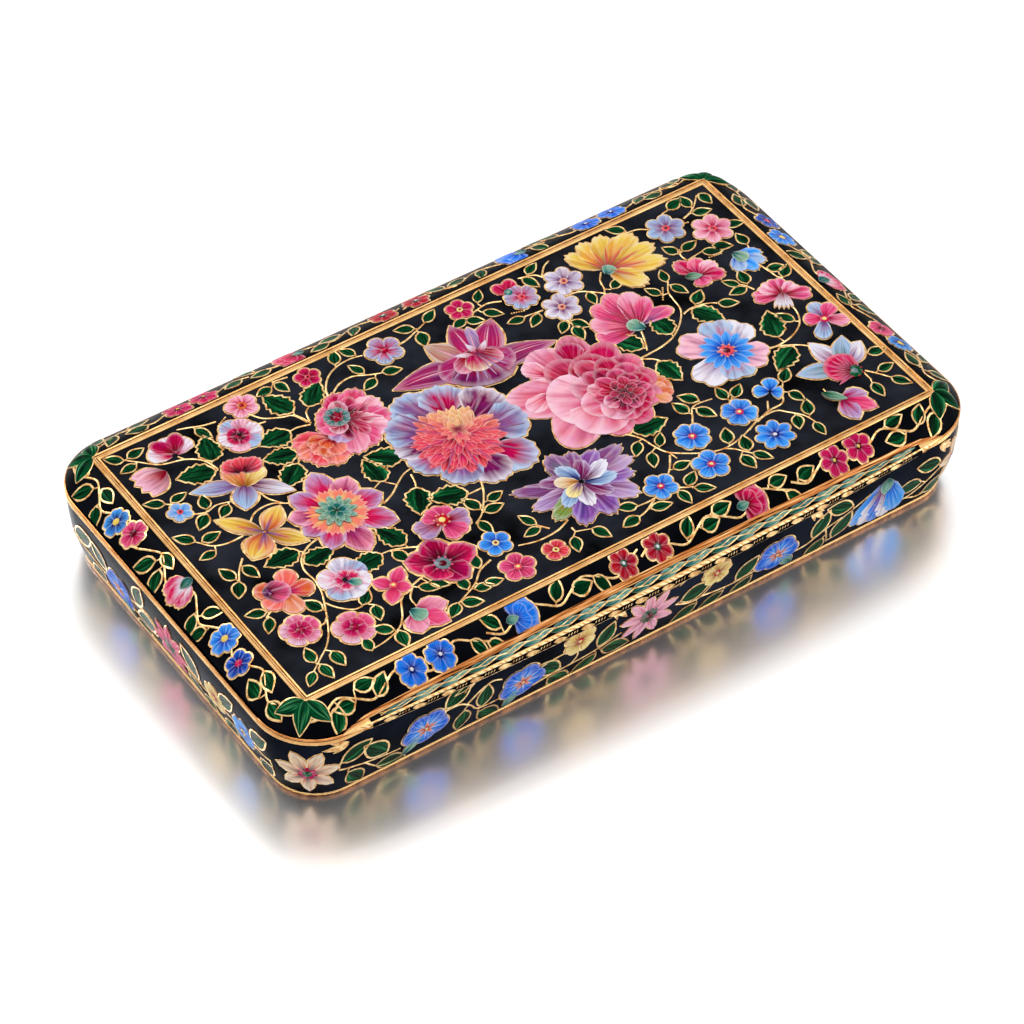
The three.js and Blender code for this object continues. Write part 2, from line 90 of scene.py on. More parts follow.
# %% [markdown]
# Three surfaces carry the ornament: the flat panel, the sloping border and the leaning wall.
# Each is a short formula, so a leaf drawn flat can be laid on it exactly.
# The lid's surface is read from above. The wall's is a strip that runs right round the case.

# %% The lid's surface, read from above
HALVINGS = 16
SLOPE_STEP = 0.05


def wall_inset(z):
    """How far the wall stands in from the case's edge at a height."""
    return WALL_LEAN * max(0, 1 - z / BEAD_Z) ** WALL_CURVE


def border_z(inset):
    """Height of the border at a distance in from the edge."""
    share = min(max((inset - SKIN_SET_IN) / (BORDER_WIDTH - SKIN_SET_IN), 0), 1)
    return BORDER_FOOT + (PANEL_Z - BORDER_FOOT) * (1 - (1 - share) ** BORDER_CURVE)


def border_radius(inset):
    """Corner radius of the border at a distance in from the edge."""
    share = min(inset / BORDER_WIDTH, 1)
    return CORNER_RADIUS + (BORDER_LAST_RADIUS - CORNER_RADIUS) * share


def lid_inset(x, y):
    """Which ring of the border a plan point lies on, found by halving."""
    low = 0
    high = BORDER_WIDTH
    for _ in range(HALVINGS):
        inset = (low + high) / 2
        radius = border_radius(inset)
        dx = abs(x) - (HALF_LENGTH - inset - radius)
        dy = abs(y) - (HALF_WIDTH - inset - radius)
        outside = math.hypot(max(dx, 0), max(dy, 0)) - radius + min(max(dx, dy), 0)
        if outside > 0:
            high = inset
        else:
            low = inset
    return (low + high) / 2


def lid_height(x, y):
    """Height of the lid's surface over a plan point."""
    if abs(x) < fillet_high.x and abs(y) < fillet_high.y:
        return PANEL_Z
    return border_z(lid_inset(x, y))


def on_lid(x, y, rise):
    """A plan point raised from the lid's surface, square to it."""
    if abs(x) < panel_high.x and abs(y) < panel_high.y:
        return Vector((x, y, PANEL_Z + rise))
    step = SLOPE_STEP
    slope_x = (lid_height(x + step, y) - lid_height(x - step, y)) / (2 * step)
    slope_y = (lid_height(x, y + step) - lid_height(x, y - step)) / (2 * step)
    normal = Vector((-slope_x, -slope_y, 1)).normalized()
    return Vector((x, y, lid_height(x, y))) + normal * rise


print("the lid's surface rises from", BORDER_FOOT, "to", round(PANEL_Z, 2), "mm")

# %% The wall's surface, as one strip round the case
STRAIGHT_LONG = 2 * (HALF_LENGTH - CORNER_RADIUS)
STRAIGHT_SHORT = 2 * (HALF_WIDTH - CORNER_RADIUS)
CORNER_ARC = CORNER_RADIUS * math.pi / 2
SIDE_STEP = STRAIGHT_LONG / 2 + CORNER_ARC + STRAIGHT_SHORT / 2
GIRTH = 4 * SIDE_STEP


def on_wall(u, z, rise):
    """A strip point raised from the wall. u starts at the front's middle and runs to the right."""
    u = (u + STRAIGHT_LONG / 2) % GIRTH
    corner_x = HALF_LENGTH - CORNER_RADIUS
    corner_y = HALF_WIDTH - CORNER_RADIUS
    radius = CORNER_RADIUS - wall_inset(z) - SKIN_SET_IN + rise
    for side in range(4):
        straight = STRAIGHT_LONG if side % 2 == 0 else STRAIGHT_SHORT
        facing = math.radians(90 * side - 90)
        out = Vector((math.cos(facing), math.sin(facing), 0))
        along = Vector((-out.y, out.x, 0))
        reach = corner_y if side % 2 == 0 else corner_x
        if u <= straight:
            return out * (reach + radius) + along * (u - straight / 2) + Vector((0, 0, z))
        u -= straight
        if u <= CORNER_ARC:
            turn = u / CORNER_RADIUS
            spoke = out * math.cos(turn) + along * math.sin(turn)
            return out * reach + along * straight / 2 + spoke * radius + Vector((0, 0, z))
        u -= CORNER_ARC
    return on_wall(0, z, rise)


SIDES = {"front": 0, "right": SIDE_STEP, "back": 2 * SIDE_STEP, "left": -SIDE_STEP}
print("the wall strip is", round(GIRTH, 1), "mm long")

# %% [markdown]
# The camera stands to the left of the front and looks down at about 45 degrees, through a long
# lens. The numbers were fitted to the box's corners, so that the render lies on the photograph.

# %% Camera
VIEW_AZIMUTH = math.radians(-34.578)
VIEW_ELEVATION = math.radians(45.308)
VIEW_ROLL = math.radians(-0.337)
VIEW_DISTANCE = 476.81
AIM_RIGHT = 0.447
AIM_DOWN = -0.283
LENS = 151.39
SENSOR = 36
camera_data = bpy.data.cameras.new("camera")
camera_data.sensor_width = SENSOR
camera_data.lens = LENS
camera_data.clip_start = 0.01
camera = bpy.data.objects.new("camera", camera_data)
bpy.context.scene.collection.objects.link(camera)
bpy.context.scene.camera = camera
flat_reach = math.cos(VIEW_ELEVATION)
back = Vector((
    math.sin(VIEW_AZIMUTH) * flat_reach,
    -math.cos(VIEW_AZIMUTH) * flat_reach,
    math.sin(VIEW_ELEVATION),
))
level_right = (-back).cross(Vector((0, 0, 1))).normalized()
level_down = (-back).cross(level_right)
right = level_right * math.cos(VIEW_ROLL) + level_down * math.sin(VIEW_ROLL)
down = level_down * math.cos(VIEW_ROLL) - level_right * math.sin(VIEW_ROLL)
stand = back * VIEW_DISTANCE - right * AIM_RIGHT - down * AIM_DOWN
camera.matrix_world = Matrix((
    (right.x, -down.x, back.x, stand.x * MM),
    (right.y, -down.y, back.y, stand.y * MM),
    (right.z, -down.z, back.z, stand.z * MM),
    (0, 0, 0, 1),
))
print("camera stands at", [round(c, 1) for c in stand], "mm")

# %% [markdown]
# The floor is white and slightly glossy, so the box stands on its own soft mirror image.
# Camera and mirror rays see a little glow added to the lit floor. That keeps it white away from
# the box, while the shadow under the box stays.

# %% Material helpers
WHITE = (1, 1, 1, 1)


def new_material(name):
    """A material with its shader tree cleared down to the output."""
    material = bpy.data.materials.new(name)
    material.use_nodes = True
    tree = material.node_tree
    tree.nodes.clear()
    return material, tree, tree.nodes.new("ShaderNodeOutputMaterial")


def feed(tree, node, sockets):
    """Fills a node's inputs. Each gets a plain value, or a link from another node's output."""
    for name, value in sockets.items():
        if isinstance(value, bpy.types.NodeSocket):
            tree.links.new(value, node.inputs[name])
        else:
            node.inputs[name].default_value = value


def add(tree, kind, sockets=None, **settings):
    """A new node of a kind. Its settings are made first, because they can change its inputs."""
    node = tree.nodes.new(kind)
    for name, value in settings.items():
        setattr(node, name, value)
    feed(tree, node, sockets or {})
    return node


def maths(tree, operation, *values):
    """The result of a sum on plain numbers or on the outputs of other nodes."""
    return add(tree, "ShaderNodeMath", dict(enumerate(values)), operation=operation).outputs[0]


def paint(red, green, blue):
    """A colour picked on a screen, 0 to 255, as the linear values that shaders use."""
    return tuple(((c / 255) ** 2.2) for c in (red, green, blue)) + (1,)


print("middle grey as shaders have it:", [round(level, 3) for level in paint(128, 128, 128)])

# %% The white floor
FLOOR_GLOW = 0.03
FLOOR_MIRROR = 0.88
FLOOR_SIZE = 3
FLOOR_DROP = 0.00002


def white_to_the_eye(tree):
    """A factor that is 1 for camera, mirror and glass rays."""
    path = add(tree, "ShaderNodeLightPath").outputs
    first = maths(tree, "MAXIMUM", path["Is Camera Ray"], path["Is Glossy Ray"])
    return maths(tree, "MAXIMUM", first, path["Is Transmission Ray"])


floor_material, tree, output = new_material("white_floor")
matt = add(tree, "ShaderNodeBsdfDiffuse", {"Color": (0.86, 0.86, 0.86, 1)})
mirror = add(tree, "ShaderNodeBsdfGlossy", {"Color": WHITE, "Roughness": 0.3})
sheen = add(tree, "ShaderNodeMixShader", {0: FLOOR_MIRROR, 1: matt.outputs[0], 2: mirror.outputs[0]})
glow_level = maths(tree, "MULTIPLY", white_to_the_eye(tree), FLOOR_GLOW)
glow = add(tree, "ShaderNodeEmission", {"Color": WHITE, "Strength": glow_level})
both = add(tree, "ShaderNodeAddShader", {0: sheen.outputs[0], 1: glow.outputs[0]})
feed(tree, output, {"Surface": both.outputs[0]})

floor_mesh = bpy.data.meshes.new("floor")
bm = bmesh.new()
bmesh.ops.create_grid(bm, x_segments=1, y_segments=1, size=FLOOR_SIZE)
bmesh.ops.translate(bm, vec=(0, 0, -FLOOR_DROP), verts=bm.verts)
bm.to_mesh(floor_mesh)
bm.free()
floor_mesh.materials.append(floor_material)
floor = bpy.data.objects.new("floor", floor_mesh)
bpy.context.scene.collection.objects.link(floor)
print("floor:", floor.name, "dropped by", FLOOR_DROP, "m")

# %% Surroundings and lamps
WORLD_FILL = 0.5
WORLD_SEEN = 1.08
world = bpy.data.worlds.new("studio")
bpy.context.scene.world = world
world.use_nodes = True
tree = world.node_tree
tree.nodes.clear()
seen = add(tree, "ShaderNodeBackground", {"Color": WHITE, "Strength": WORLD_SEEN})
fill = add(tree, "ShaderNodeBackground", {"Color": (0.97, 0.98, 1, 1), "Strength": WORLD_FILL})
choice = add(
    tree, "ShaderNodeMixShader", {0: white_to_the_eye(tree), 1: fill.outputs[0], 2: seen.outputs[0]})
add(tree, "ShaderNodeOutputWorld", {"Surface": choice.outputs[0]})


def soft_lamp(name, place, width, depth, watts):
    """A square lamp that faces the box. Place and size are in metres."""
    data = bpy.data.lights.new(name, "AREA")
    data.shape = "RECTANGLE"
    data.size = width
    data.size_y = depth
    data.energy = watts
    lamp = bpy.data.objects.new(name, data)
    lamp.location = place
    lamp.rotation_euler = Vector(place).to_track_quat("Z", "Y").to_euler()
    bpy.context.scene.collection.objects.link(lamp)


soft_lamp("overhead", (0.0, 0.12, 0.75), 0.5, 0.5, 2.2)
soft_lamp("back_left", (-0.16, 0.5, 0.42), 0.22, 0.3, 1.2)
soft_lamp("front_right", (0.5, -0.4, 0.35), 0.3, 0.3, 0.7)
bpy.context.scene.view_settings.view_transform = "Standard"
print("lamps:", len(bpy.data.lights))

# %% [markdown]
# Two small effects are used by several finishes, so each is a node group.
# One breaks a surface into soft cloudy patches and fine pits, as polished gold and fired enamel
# have; on the black enamels the paler patches are partly a painted sheen, and on the gold lines
# the patches are partly painted highlights and shade. The other gives the streaks that a
# painter's brush leaves along a petal or a leaf.

# %% Clouds and pits


def effect_group(name, inputs, outputs):
    """An empty node group. inputs has each input's name and usual value, outputs has names."""
    group = bpy.data.node_groups.new(name, "ShaderNodeTree")
    for label, value in inputs.items():
        socket = group.interface.new_socket(label, in_out="INPUT", socket_type="NodeSocketFloat")
        socket.default_value = value
    for label in outputs:
        group.interface.new_socket(label, in_out="OUTPUT", socket_type="NodeSocketFloat")
    return group, group.nodes.new("NodeGroupInput"), group.nodes.new("NodeGroupOutput")


def noise(tree, vector, scale, detail):
    """A cloudy factor over a place."""
    sockets = {"Vector": vector, "Scale": scale, "Detail": detail}
    return add(tree, "ShaderNodeTexNoise", sockets).outputs["Fac"]


def object_place(tree):
    """The place on the object, which stays with it when it moves."""
    return add(tree, "ShaderNodeTexCoord").outputs["Object"]


clouds, entry, leave = effect_group(
    "clouds_and_pits", {"Patch Scale": 300.0, "Pit Scale": 2500.0}, ["Patches", "Pits"])
place = object_place(clouds)
feed(clouds, leave, {
    "Patches": noise(clouds, place, entry.outputs["Patch Scale"], 3),
    "Pits": noise(clouds, place, entry.outputs["Pit Scale"], 2),
})
print("effect:", clouds.name)

# %% Brush streaks
streaks, entry, leave = effect_group(
    "brush_streaks", {"Across": 14.0, "Along": 1.6}, ["Streaks", "Lines", "Run", "Edge", "Aside"])
# The map runs across a petal in x and from root to tip in y. The place tells petals apart
PLACE_SHIFT = 120
petal_map = add(streaks, "ShaderNodeUVMap", uv_map="UVMap")
split = add(streaks, "ShaderNodeSeparateXYZ", {0: petal_map.outputs[0]}).outputs
stretch = add(streaks, "ShaderNodeCombineXYZ", {
    "X": maths(streaks, "MULTIPLY", split["X"], entry.outputs["Across"]),
    "Y": maths(streaks, "MULTIPLY", split["Y"], entry.outputs["Along"]),
})
shift = add(
    streaks, "ShaderNodeVectorMath", {0: object_place(streaks), "Scale": PLACE_SHIFT}, operation="SCALE")
total = add(streaks, "ShaderNodeVectorMath", {0: stretch.outputs[0], 1: shift.outputs[0]}, operation="ADD")
finer = add(streaks, "ShaderNodeVectorMath", {0: total.outputs[0], 1: (2.6, 0.6, 1)}, operation="MULTIPLY")
from_middle = maths(streaks, "ABSOLUTE", maths(streaks, "SUBTRACT", split["X"], 0.5))
towards_tip = maths(streaks, "SUBTRACT", split["Y"], 0.5)
feed(streaks, leave, {
    "Streaks": noise(streaks, total.outputs[0], 1, 3),
    "Lines": noise(streaks, finer.outputs[0], 1, 1),
    "Run": split["Y"],
    "Edge": maths(streaks, "MAXIMUM", from_middle, towards_tip),
    "Aside": from_middle,
})
print("shared effects:", [group.name for group in bpy.data.node_groups])

# %% [markdown]
# Gold is a metal, so its colour lives in its mirror image. The chased and polished parts differ
# in roughness, in how cloudy they are and in their tint. Plain finishes come from one function,
# and two more draw the lines of a chasing tool and the slanting cuts of a rope edge.

# %% Golds and enamels


def shaded(name, metallic, gloss=0.5):
    """A material with one shader: gives the material, its tree and the shader."""
    material, tree, output = new_material(name)
    shader = add(tree, "ShaderNodeBsdfPrincipled", {"Metallic": metallic, "Specular IOR Level": gloss})
    feed(tree, output, {"Surface": shader.outputs[0]})
    return material, tree, shader


def ramp(tree, source, stops):
    """A colour ramp over a factor: stops are (place, colour)."""
    node = add(tree, "ShaderNodeValToRGB", {0: source})
    elements = node.color_ramp.elements
    elements[0].position, elements[0].color = stops[0]
    elements[1].position, elements[1].color = stops[-1]
    for position, colour in stops[1:-1]:
        elements.new(position).color = colour
    return node.outputs["Color"]


def bumped(tree, source, shader, strength, distance):
    """Bumps from a factor on a shader's normal."""
    bump = add(tree, "ShaderNodeBump", {"Strength": strength, "Distance": distance, "Height": source})
    feed(tree, shader, {"Normal": bump.outputs[0]})


def grey(level):
    return (level, level, level, 1)


def surface(name, dark, light, metallic, rough, patch_scale, pit_scale, pit_depth, gloss=0.5):
    """A finish that wanders between two colours and two roughnesses in soft patches."""
    material, tree, shader = shaded(name, metallic, gloss)
    sockets = {"Patch Scale": patch_scale, "Pit Scale": pit_scale}
    cloudy = add(tree, "ShaderNodeGroup", sockets, node_tree=clouds).outputs
    feed(tree, shader, {
        "Base Color": ramp(tree, cloudy["Patches"], [(0.3, dark), (0.7, light)]),
        "Roughness": ramp(tree, cloudy["Pits"], [(0.3, grey(rough[0])), (0.7, grey(rough[1]))]),
    })
    bumped(tree, cloudy["Pits"], shader, 0.35, pit_depth)
    return material


gold = surface(
    "polished_gold", paint(196, 138, 78), paint(232, 182, 112), 1, (0.14, 0.3), 260, 3000, 0.00002)
satin_gold = surface(
    "satin_gold", paint(216, 160, 94), paint(238, 190, 122), 1, (0.28, 0.36), 90, 5200, 0.000006)
pale_gold = surface(
    "pale_gold", paint(202, 146, 86), paint(240, 196, 134), 1, (0.2, 0.38), 420, 5200, 0.00003)
# The gold lines wander from dark brown to pale cream: partly the gold's own uneven tone, partly painted
# highlights and painted shade on the raised wires.
line_gold = surface(
    "gold_lines", paint(176, 116, 60), paint(255, 222, 160), 1, (0.2, 0.42), 1500, 9000, 0.00003)
# Paler slate-blue patches in the black enamels: partly fired enamel's own mottle, partly a painted sheen
# standing in for soft reflections on the black. The panel's copy has the palest painted sheen.
black_enamel = surface(
    "black_enamel", paint(2, 2, 3), paint(19, 21, 28), 0, (0.26, 0.42), 150, 1500, 0.000012, 0.015)
panel_black = surface(
    "panel_enamel_black", paint(2, 3, 5), paint(44, 46, 54), 0, (0.26, 0.42), 190, 1500, 0.000012, 0.015)
wall_black = surface(
    "wall_enamel_black", paint(2, 3, 5), paint(34, 40, 54), 0, (0.1, 0.2), 110, 1500, 0.000012, 0.005)
copper_gold = surface(
    "copper_gold", paint(150, 88, 44), paint(214, 150, 92), 1, (0.2, 0.4), 700, 5000, 0.00002)


print("plain finishes end with", copper_gold.name)

# %% Chased and hatched golds
BAND_REPEAT = 0.63


def chased(name, stretch, stops):
    """Gold worked with a tool: fine lines whose run is set by stretching their pattern."""
    material, tree, shader = shaded(name, 1)
    drawn = add(tree, "ShaderNodeVectorMath", {0: object_place(tree), 1: stretch}, operation="MULTIPLY")
    lines = noise(tree, drawn.outputs[0], 1, 2)
    feed(tree, shader, {"Base Color": ramp(tree, lines, stops), "Roughness": 0.34})
    bumped(tree, lines, shader, 0.5, 0.00003)
    return material


def hatched(name, pitch, dark, light, depth=0.00004, wander=1.4):
    """Gold cut with slanting strokes, as on a rope edge. pitch is in metres."""
    material, tree, shader = shaded(name, 1)
    place = object_place(tree)
    sockets = {"Vector": place, "Scale": BAND_REPEAT / pitch, "Distortion": wander, "Detail": 1}
    wave = add(tree, "ShaderNodeTexWave", sockets, wave_type="BANDS", bands_direction="DIAGONAL")
    cuts = wave.outputs["Fac"]
    feed(tree, shader, {"Base Color": ramp(tree, cuts, [(0.15, dark), (0.6, light)]), "Roughness": 0.3})
    bumped(tree, cuts, shader, 0.6, depth)
    return material


copper_band = chased("copper_band", (260, 6400, 6400), [
    (0.36, paint(40, 20, 10)), (0.44, paint(160, 92, 46)), (0.58, paint(206, 138, 82)),
    (0.72, paint(244, 200, 142))])
groove_gold = chased(
    "groove_gold", (900, 900, 900), [(0.35, paint(92, 52, 22)), (0.65, paint(168, 108, 60))])
rope_gold = hatched("rope_gold", 0.0003, paint(186, 132, 76), paint(250, 214, 150))
ridge_gold = hatched("ridge_gold", 0.0008, paint(196, 144, 86), paint(252, 224, 170), 0.00002, 5)
print("finishes so far:", [material.name for material in bpy.data.materials])

# %% [markdown]
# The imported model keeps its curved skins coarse. Here each gets a smooth twin of the same form.
# A ring starts as one flat square face for each level. Bevelling its four corner points rounds
# it, its face is taken away, and the loops that are left are bridged into a band.
# The same operator could round a finished box, but then the corner radius couldn't change with
# height, as it does on the border.

# %% Smooth rings round the case
CORNER_STEPS = 14


def rounded_face(bm, inset, z, radius):
    """A flat face in the form of a rounded rectangle, set in from the case's edge."""
    made = bmesh.ops.create_grid(bm, x_segments=1, y_segments=1, size=1)
    old = set(bm.faces) - {face for vert in made["verts"] for face in vert.link_faces}
    bmesh.ops.scale(bm, vec=(HALF_LENGTH - inset, HALF_WIDTH - inset, 1), verts=made["verts"])
    bmesh.ops.translate(bm, vec=(0, 0, z), verts=made["verts"])
    bmesh.ops.bevel(
        bm, geom=made["verts"], offset=radius, offset_type="OFFSET", segments=CORNER_STEPS,
        profile=0.5, affect="VERTICES", material=-1)
    return (set(bm.faces) - old).pop()


def finished(bm, name, body, materials, angle=35, replaces=()):
    """Brings a mesh to metres and makes it a piece that rides on a body."""
    bmesh.ops.recalc_face_normals(bm, faces=bm.faces)
    bmesh.ops.scale(bm, vec=(MM, MM, MM), verts=bm.verts)
    mesh = bpy.data.meshes.new(name)
    bm.to_mesh(mesh)
    bm.free()
    mesh.shade_smooth()
    mesh.set_sharp_from_angle(angle=math.radians(angle))
    for material in materials:
        mesh.materials.append(material)
    piece = bpy.data.objects.new(name, mesh)
    bpy.context.scene.collection.objects.link(piece)
    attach(piece, body)
    if replaces:
        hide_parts(*replaces)
    return piece


def band(profile):
    """A closed ring whose section is a list of (inset, height, corner radius)."""
    bm = bmesh.new()
    loops = []
    spare = []
    for row in profile:
        face = rounded_face(bm, *row)
        loops.append(list(face.edges))
        spare.append(face)
    bmesh.ops.delete(bm, geom=spare, context="FACES_ONLY")
    for first, second in zip(loops, loops[1:] + loops[:1]):
        bmesh.ops.bridge_loops(bm, edges=first + second)
    return bm


def wire_section(inset, z, radius, steps=12):
    """A round section for a band, as (inset, height)."""
    turns = [2 * math.pi * step / steps for step in range(steps)]
    return [(inset + radius * math.cos(turn), z + radius * math.sin(turn)) for turn in turns]


def spread(low, high, count):
    return [low + (high - low) * step / (count - 1) for step in range(count)]


print("points round a ring:", 4 * (CORNER_STEPS + 1))

# %% Wall enamel, bead, border enamel and rim wire
CASE_SKIN = 0.33
POCKET_CLEARANCE = 0.15
pocket_low = box_mm("base_hinge_knuckle_1")[0]
POCKET_HALF = box_mm("hinge_end_cap_right")[1].x + POCKET_CLEARANCE


def cut_hinge_pocket(bm):
    """Cuts the slot that the hinge lies in out of a band, with planes and without a solid."""
    planes = [
        ((POCKET_HALF, 0, 0), (1, 0, 0)),
        ((-POCKET_HALF, 0, 0), (-1, 0, 0)),
        ((0, 0, pocket_low.z), (0, 0, -1)),
    ]
    for point, normal in planes:
        geometry = bm.verts[:] + bm.edges[:] + bm.faces[:]
        bmesh.ops.bisect_plane(bm, geom=geometry, plane_co=point, plane_no=normal)
    inside = []
    for face in bm.faces:
        middle = face.calc_center_median()
        if middle.y > pocket_low.y and abs(middle.x) < POCKET_HALF and middle.z > pocket_low.z:
            inside.append(face)
    bmesh.ops.delete(bm, geom=inside, context="FACES")
    rims = [edge for edge in bm.edges if edge.is_boundary]
    bmesh.ops.holes_fill(bm, edges=rims, sides=0)


wall_levels = spread(wall_low.z, wall_high.z, 14)
outer = [(wall_inset(z) + SKIN_SET_IN, z) for z in wall_levels]
inner = [(inset + CASE_SKIN, z) for inset, z in reversed(outer)]
bm = band([(inset, z, CORNER_RADIUS - inset) for inset, z in outer + inner])
cut_hinge_pocket(bm)
wall_skin = finished(bm, "wall_enamel", "base", [wall_black], 35, ["base_wall_enamel"])

section = wire_section(BEAD_RADIUS, BEAD_Z, BEAD_RADIUS)
bm = band([(inset, z, CORNER_RADIUS - inset) for inset, z in section])
cut_hinge_pocket(bm)
bead = finished(bm, "rim_bead", "base", [pale_gold], 50, ["base_rim_bead"])

WIRE_RADIUS = (wire_high.z - wire_low.z) / 2
BORDER_SKIN = 0.4
SKIN_FOOT = 0.65
border_start = 2 * WIRE_RADIUS + ENAMEL_GAP
border_insets = [border_start] + spread(border_start + ENAMEL_GAP, BORDER_WIDTH, 16)
outer = [(border_start, wire_low.z)] + [(inset, border_z(inset)) for inset in border_insets]
inner = [(inset, border_z(inset) - BORDER_SKIN) for inset in reversed(border_insets)
         if inset > SKIN_FOOT + ENAMEL_GAP]
inner += [(SKIN_FOOT, wire_low.z)]
bm = band([(inset, z, border_radius(inset)) for inset, z in outer + inner])
border = finished(bm, "border_enamel", "lid", [black_enamel], 35, ["lid_border_enamel"])

section = wire_section(WIRE_RADIUS, wire_low.z + WIRE_RADIUS, WIRE_RADIUS, 10)
bm = band([(inset, z, border_radius(inset)) for inset, z in section])
wire = finished(bm, "rim_wire", "lid", [copper_gold], 50, ["lid_rim_wire"])
print("faces of the smooth skins:", [len(skin.data.polygons) for skin in (wall_skin, bead, border, wire)])

# %% [markdown]
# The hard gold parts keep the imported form. Each gets a copy whose loose triangles are merged and
# whose flat faces are joined up, so that the sharp edges can be given a small polished round.

# %% Copies of the hard parts with rounded edges
MERGE_GAP = 0.000002
FLAT_ANGLE = math.radians(1)
ROPE_FROM = 0.55


def dressed(node, body, materials, edge_round=0.04, sharp=40, choose=None, shape=None):
    """A smooth-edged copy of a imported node.

    choose picks a face's material from its middle, and shape moves a point a little.
    """
    bm = bmesh.new()
    bm.from_mesh(nodes[node].data)
    bmesh.ops.remove_doubles(bm, verts=bm.verts, dist=MERGE_GAP)
    bmesh.ops.dissolve_limit(
        bm, angle_limit=FLAT_ANGLE, verts=bm.verts, edges=bm.edges, use_dissolve_boundaries=False)
    bmesh.ops.scale(bm, vec=(1 / MM, 1 / MM, 1 / MM), verts=bm.verts)
    if shape:
        for vert in bm.verts:
            vert.co = shape(vert.co)
    if edge_round:
        corners = [
            edge for edge in bm.edges
            if len(edge.link_faces) == 2 and edge.calc_face_angle() > math.radians(sharp)
        ]
        bmesh.ops.bevel(
            bm, geom=corners, offset=edge_round, segments=2, profile=0.5, affect="EDGES",
            material=-1, clamp_overlap=True)
    for face in bm.faces:
        face.material_index = choose(face.calc_center_median()) if choose else 0
    return finished(bm, node + "_polished", body, materials, sharp, [node])


# %% Forms of the fillet and the lip
GROOVE_FROM = 0.28
GROOVE_TO = 0.72


def fillet_part(middle):
    """1 in the fillet's groove, 0 on its two ridges."""
    inset = min(HALF_LENGTH - abs(middle.x), HALF_WIDTH - abs(middle.y))
    share = (inset - BORDER_WIDTH - ENAMEL_GAP) / (fillet_high.x - panel_high.x)
    return 1 if GROOVE_FROM < share < GROOVE_TO else 0


LIP_PROUD = 1.45
LIP_REACH = 0.85
LIP_BAND = 0.6
LIP_CREST = 0.42
LIP_TAPER = 3.2
TIP_SHARE = 0.12
THREAD = 0.02
lip_high = box_mm("thumb_lip")[1]
inlay_high = box_mm("thumb_lip_leaf_enamel")[1]


def lip_swell(x):
    """How full the lip is at a place: 1 in the middle, and slim at the tips."""
    return (1 - (1 - TIP_SHARE ** 1.25) * min(abs(x) / lip_high.x, 1) ** 2) ** 0.8


def lip_rails(x):
    """The valley's upper and lower edges and the front's, at one place, as (inset, height)."""
    swell = lip_swell(x)
    slimming = swell ** 0.35
    band_edge = SKIN_SET_IN + LIP_REACH * slimming - LIP_BAND * slimming
    proud = LIP_PROUD * swell
    crest = LIP_CREST * (0.55 + 0.45 * swell)
    foot = border_z(SKIN_SET_IN) + ENAMEL_GAP
    low = wire_low.z - 0.16 * swell
    back_height = border_z(band_edge) + ENAMEL_GAP + crest * 0.75
    valley = ((band_edge, back_height), (-0.5 * proud, foot + crest * 0.5))
    front = ((-0.86 * proud - 0.1, foot + crest * 0.55), (-proud - 0.15, low + crest / 3))
    return valley, front


def lip_tip(point):
    """Draws the lip's last few millimetres down to a thread on the lid's edge."""
    left = lip_high.x - abs(point.x)
    if left >= LIP_TAPER:
        return point
    share = max(left / LIP_TAPER, THREAD) ** 0.6
    edge = Vector((point.x, -HALF_WIDTH + SKIN_SET_IN, wire_high.z))
    return edge.lerp(point, share)


def lip_part(middle):
    """1 on the copper band, 2 on the hatched ridge and below, 0 elsewhere."""
    inset = middle.y + HALF_WIDTH
    valley, front = lip_rails(middle.x)
    if inset > valley[0][0] + 0.02:
        return 1
    return 2 if inset < valley[1][0] - 0.02 else 0


print("the lip is", round(2 * lip_high.x, 1), "mm long")

# %% Dress the hard parts
for number in range(1, 6):
    dressed(f"base_hinge_knuckle_{number}", "base", [gold], 0.06)
for number in range(1, 5):
    dressed(f"lid_hinge_knuckle_{number}", "lid", [gold], 0.06)
for side in ("left", "right"):
    dressed(f"hinge_end_cap_{side}", "base", [pale_gold], 0)
dressed("base_bezel", "base", [gold], 0.08)
dressed(
    "base_foot_rim", "base", [groove_gold, rope_gold], 0.05, 25,
    lambda middle: 1 if middle.z > foot_low.z + ROPE_FROM * (foot_high.z - foot_low.z) else 0)
dressed("lid_fillet", "lid", [pale_gold, groove_gold], 0.02, 12, fillet_part)
dressed("thumb_lip", "lid", [pale_gold, copper_band, ridge_gold], 0.02, 40, lip_part, lip_tip)
plain = {
    "base_wall_band": satin_gold, "base_floor_plate": satin_gold, "base_bottom_enamel": black_enamel,
    "hinge_pin": gold, "lid_shell": satin_gold, "lid_lining": satin_gold, "lid_top_enamel": panel_black,
    "thumb_lip_leaf_enamel": black_enamel, "thumb_lip_dash_enamel": black_enamel,
}
for node, material in plain.items():
    nodes[node].data.materials.clear()
    nodes[node].data.materials.append(material)

# %% [markdown]
# Every leaf and petal on the real box is a small pool of enamel inside a gold line. There are
# hundreds, of a few kinds, so each kind is made once as a stamp and then laid down many times.
# A stamp starts as a small flat grid, because a grid brings its own map for the brush streaks.
# Its points are moved to the outline, the edge is walled down with an extrude and filled below.
# A leaf's rim is an inset of the same face, so the gold line is as wide all the way round.

# %% Stamps for leaves and petals
PAD_FOOT = -0.06


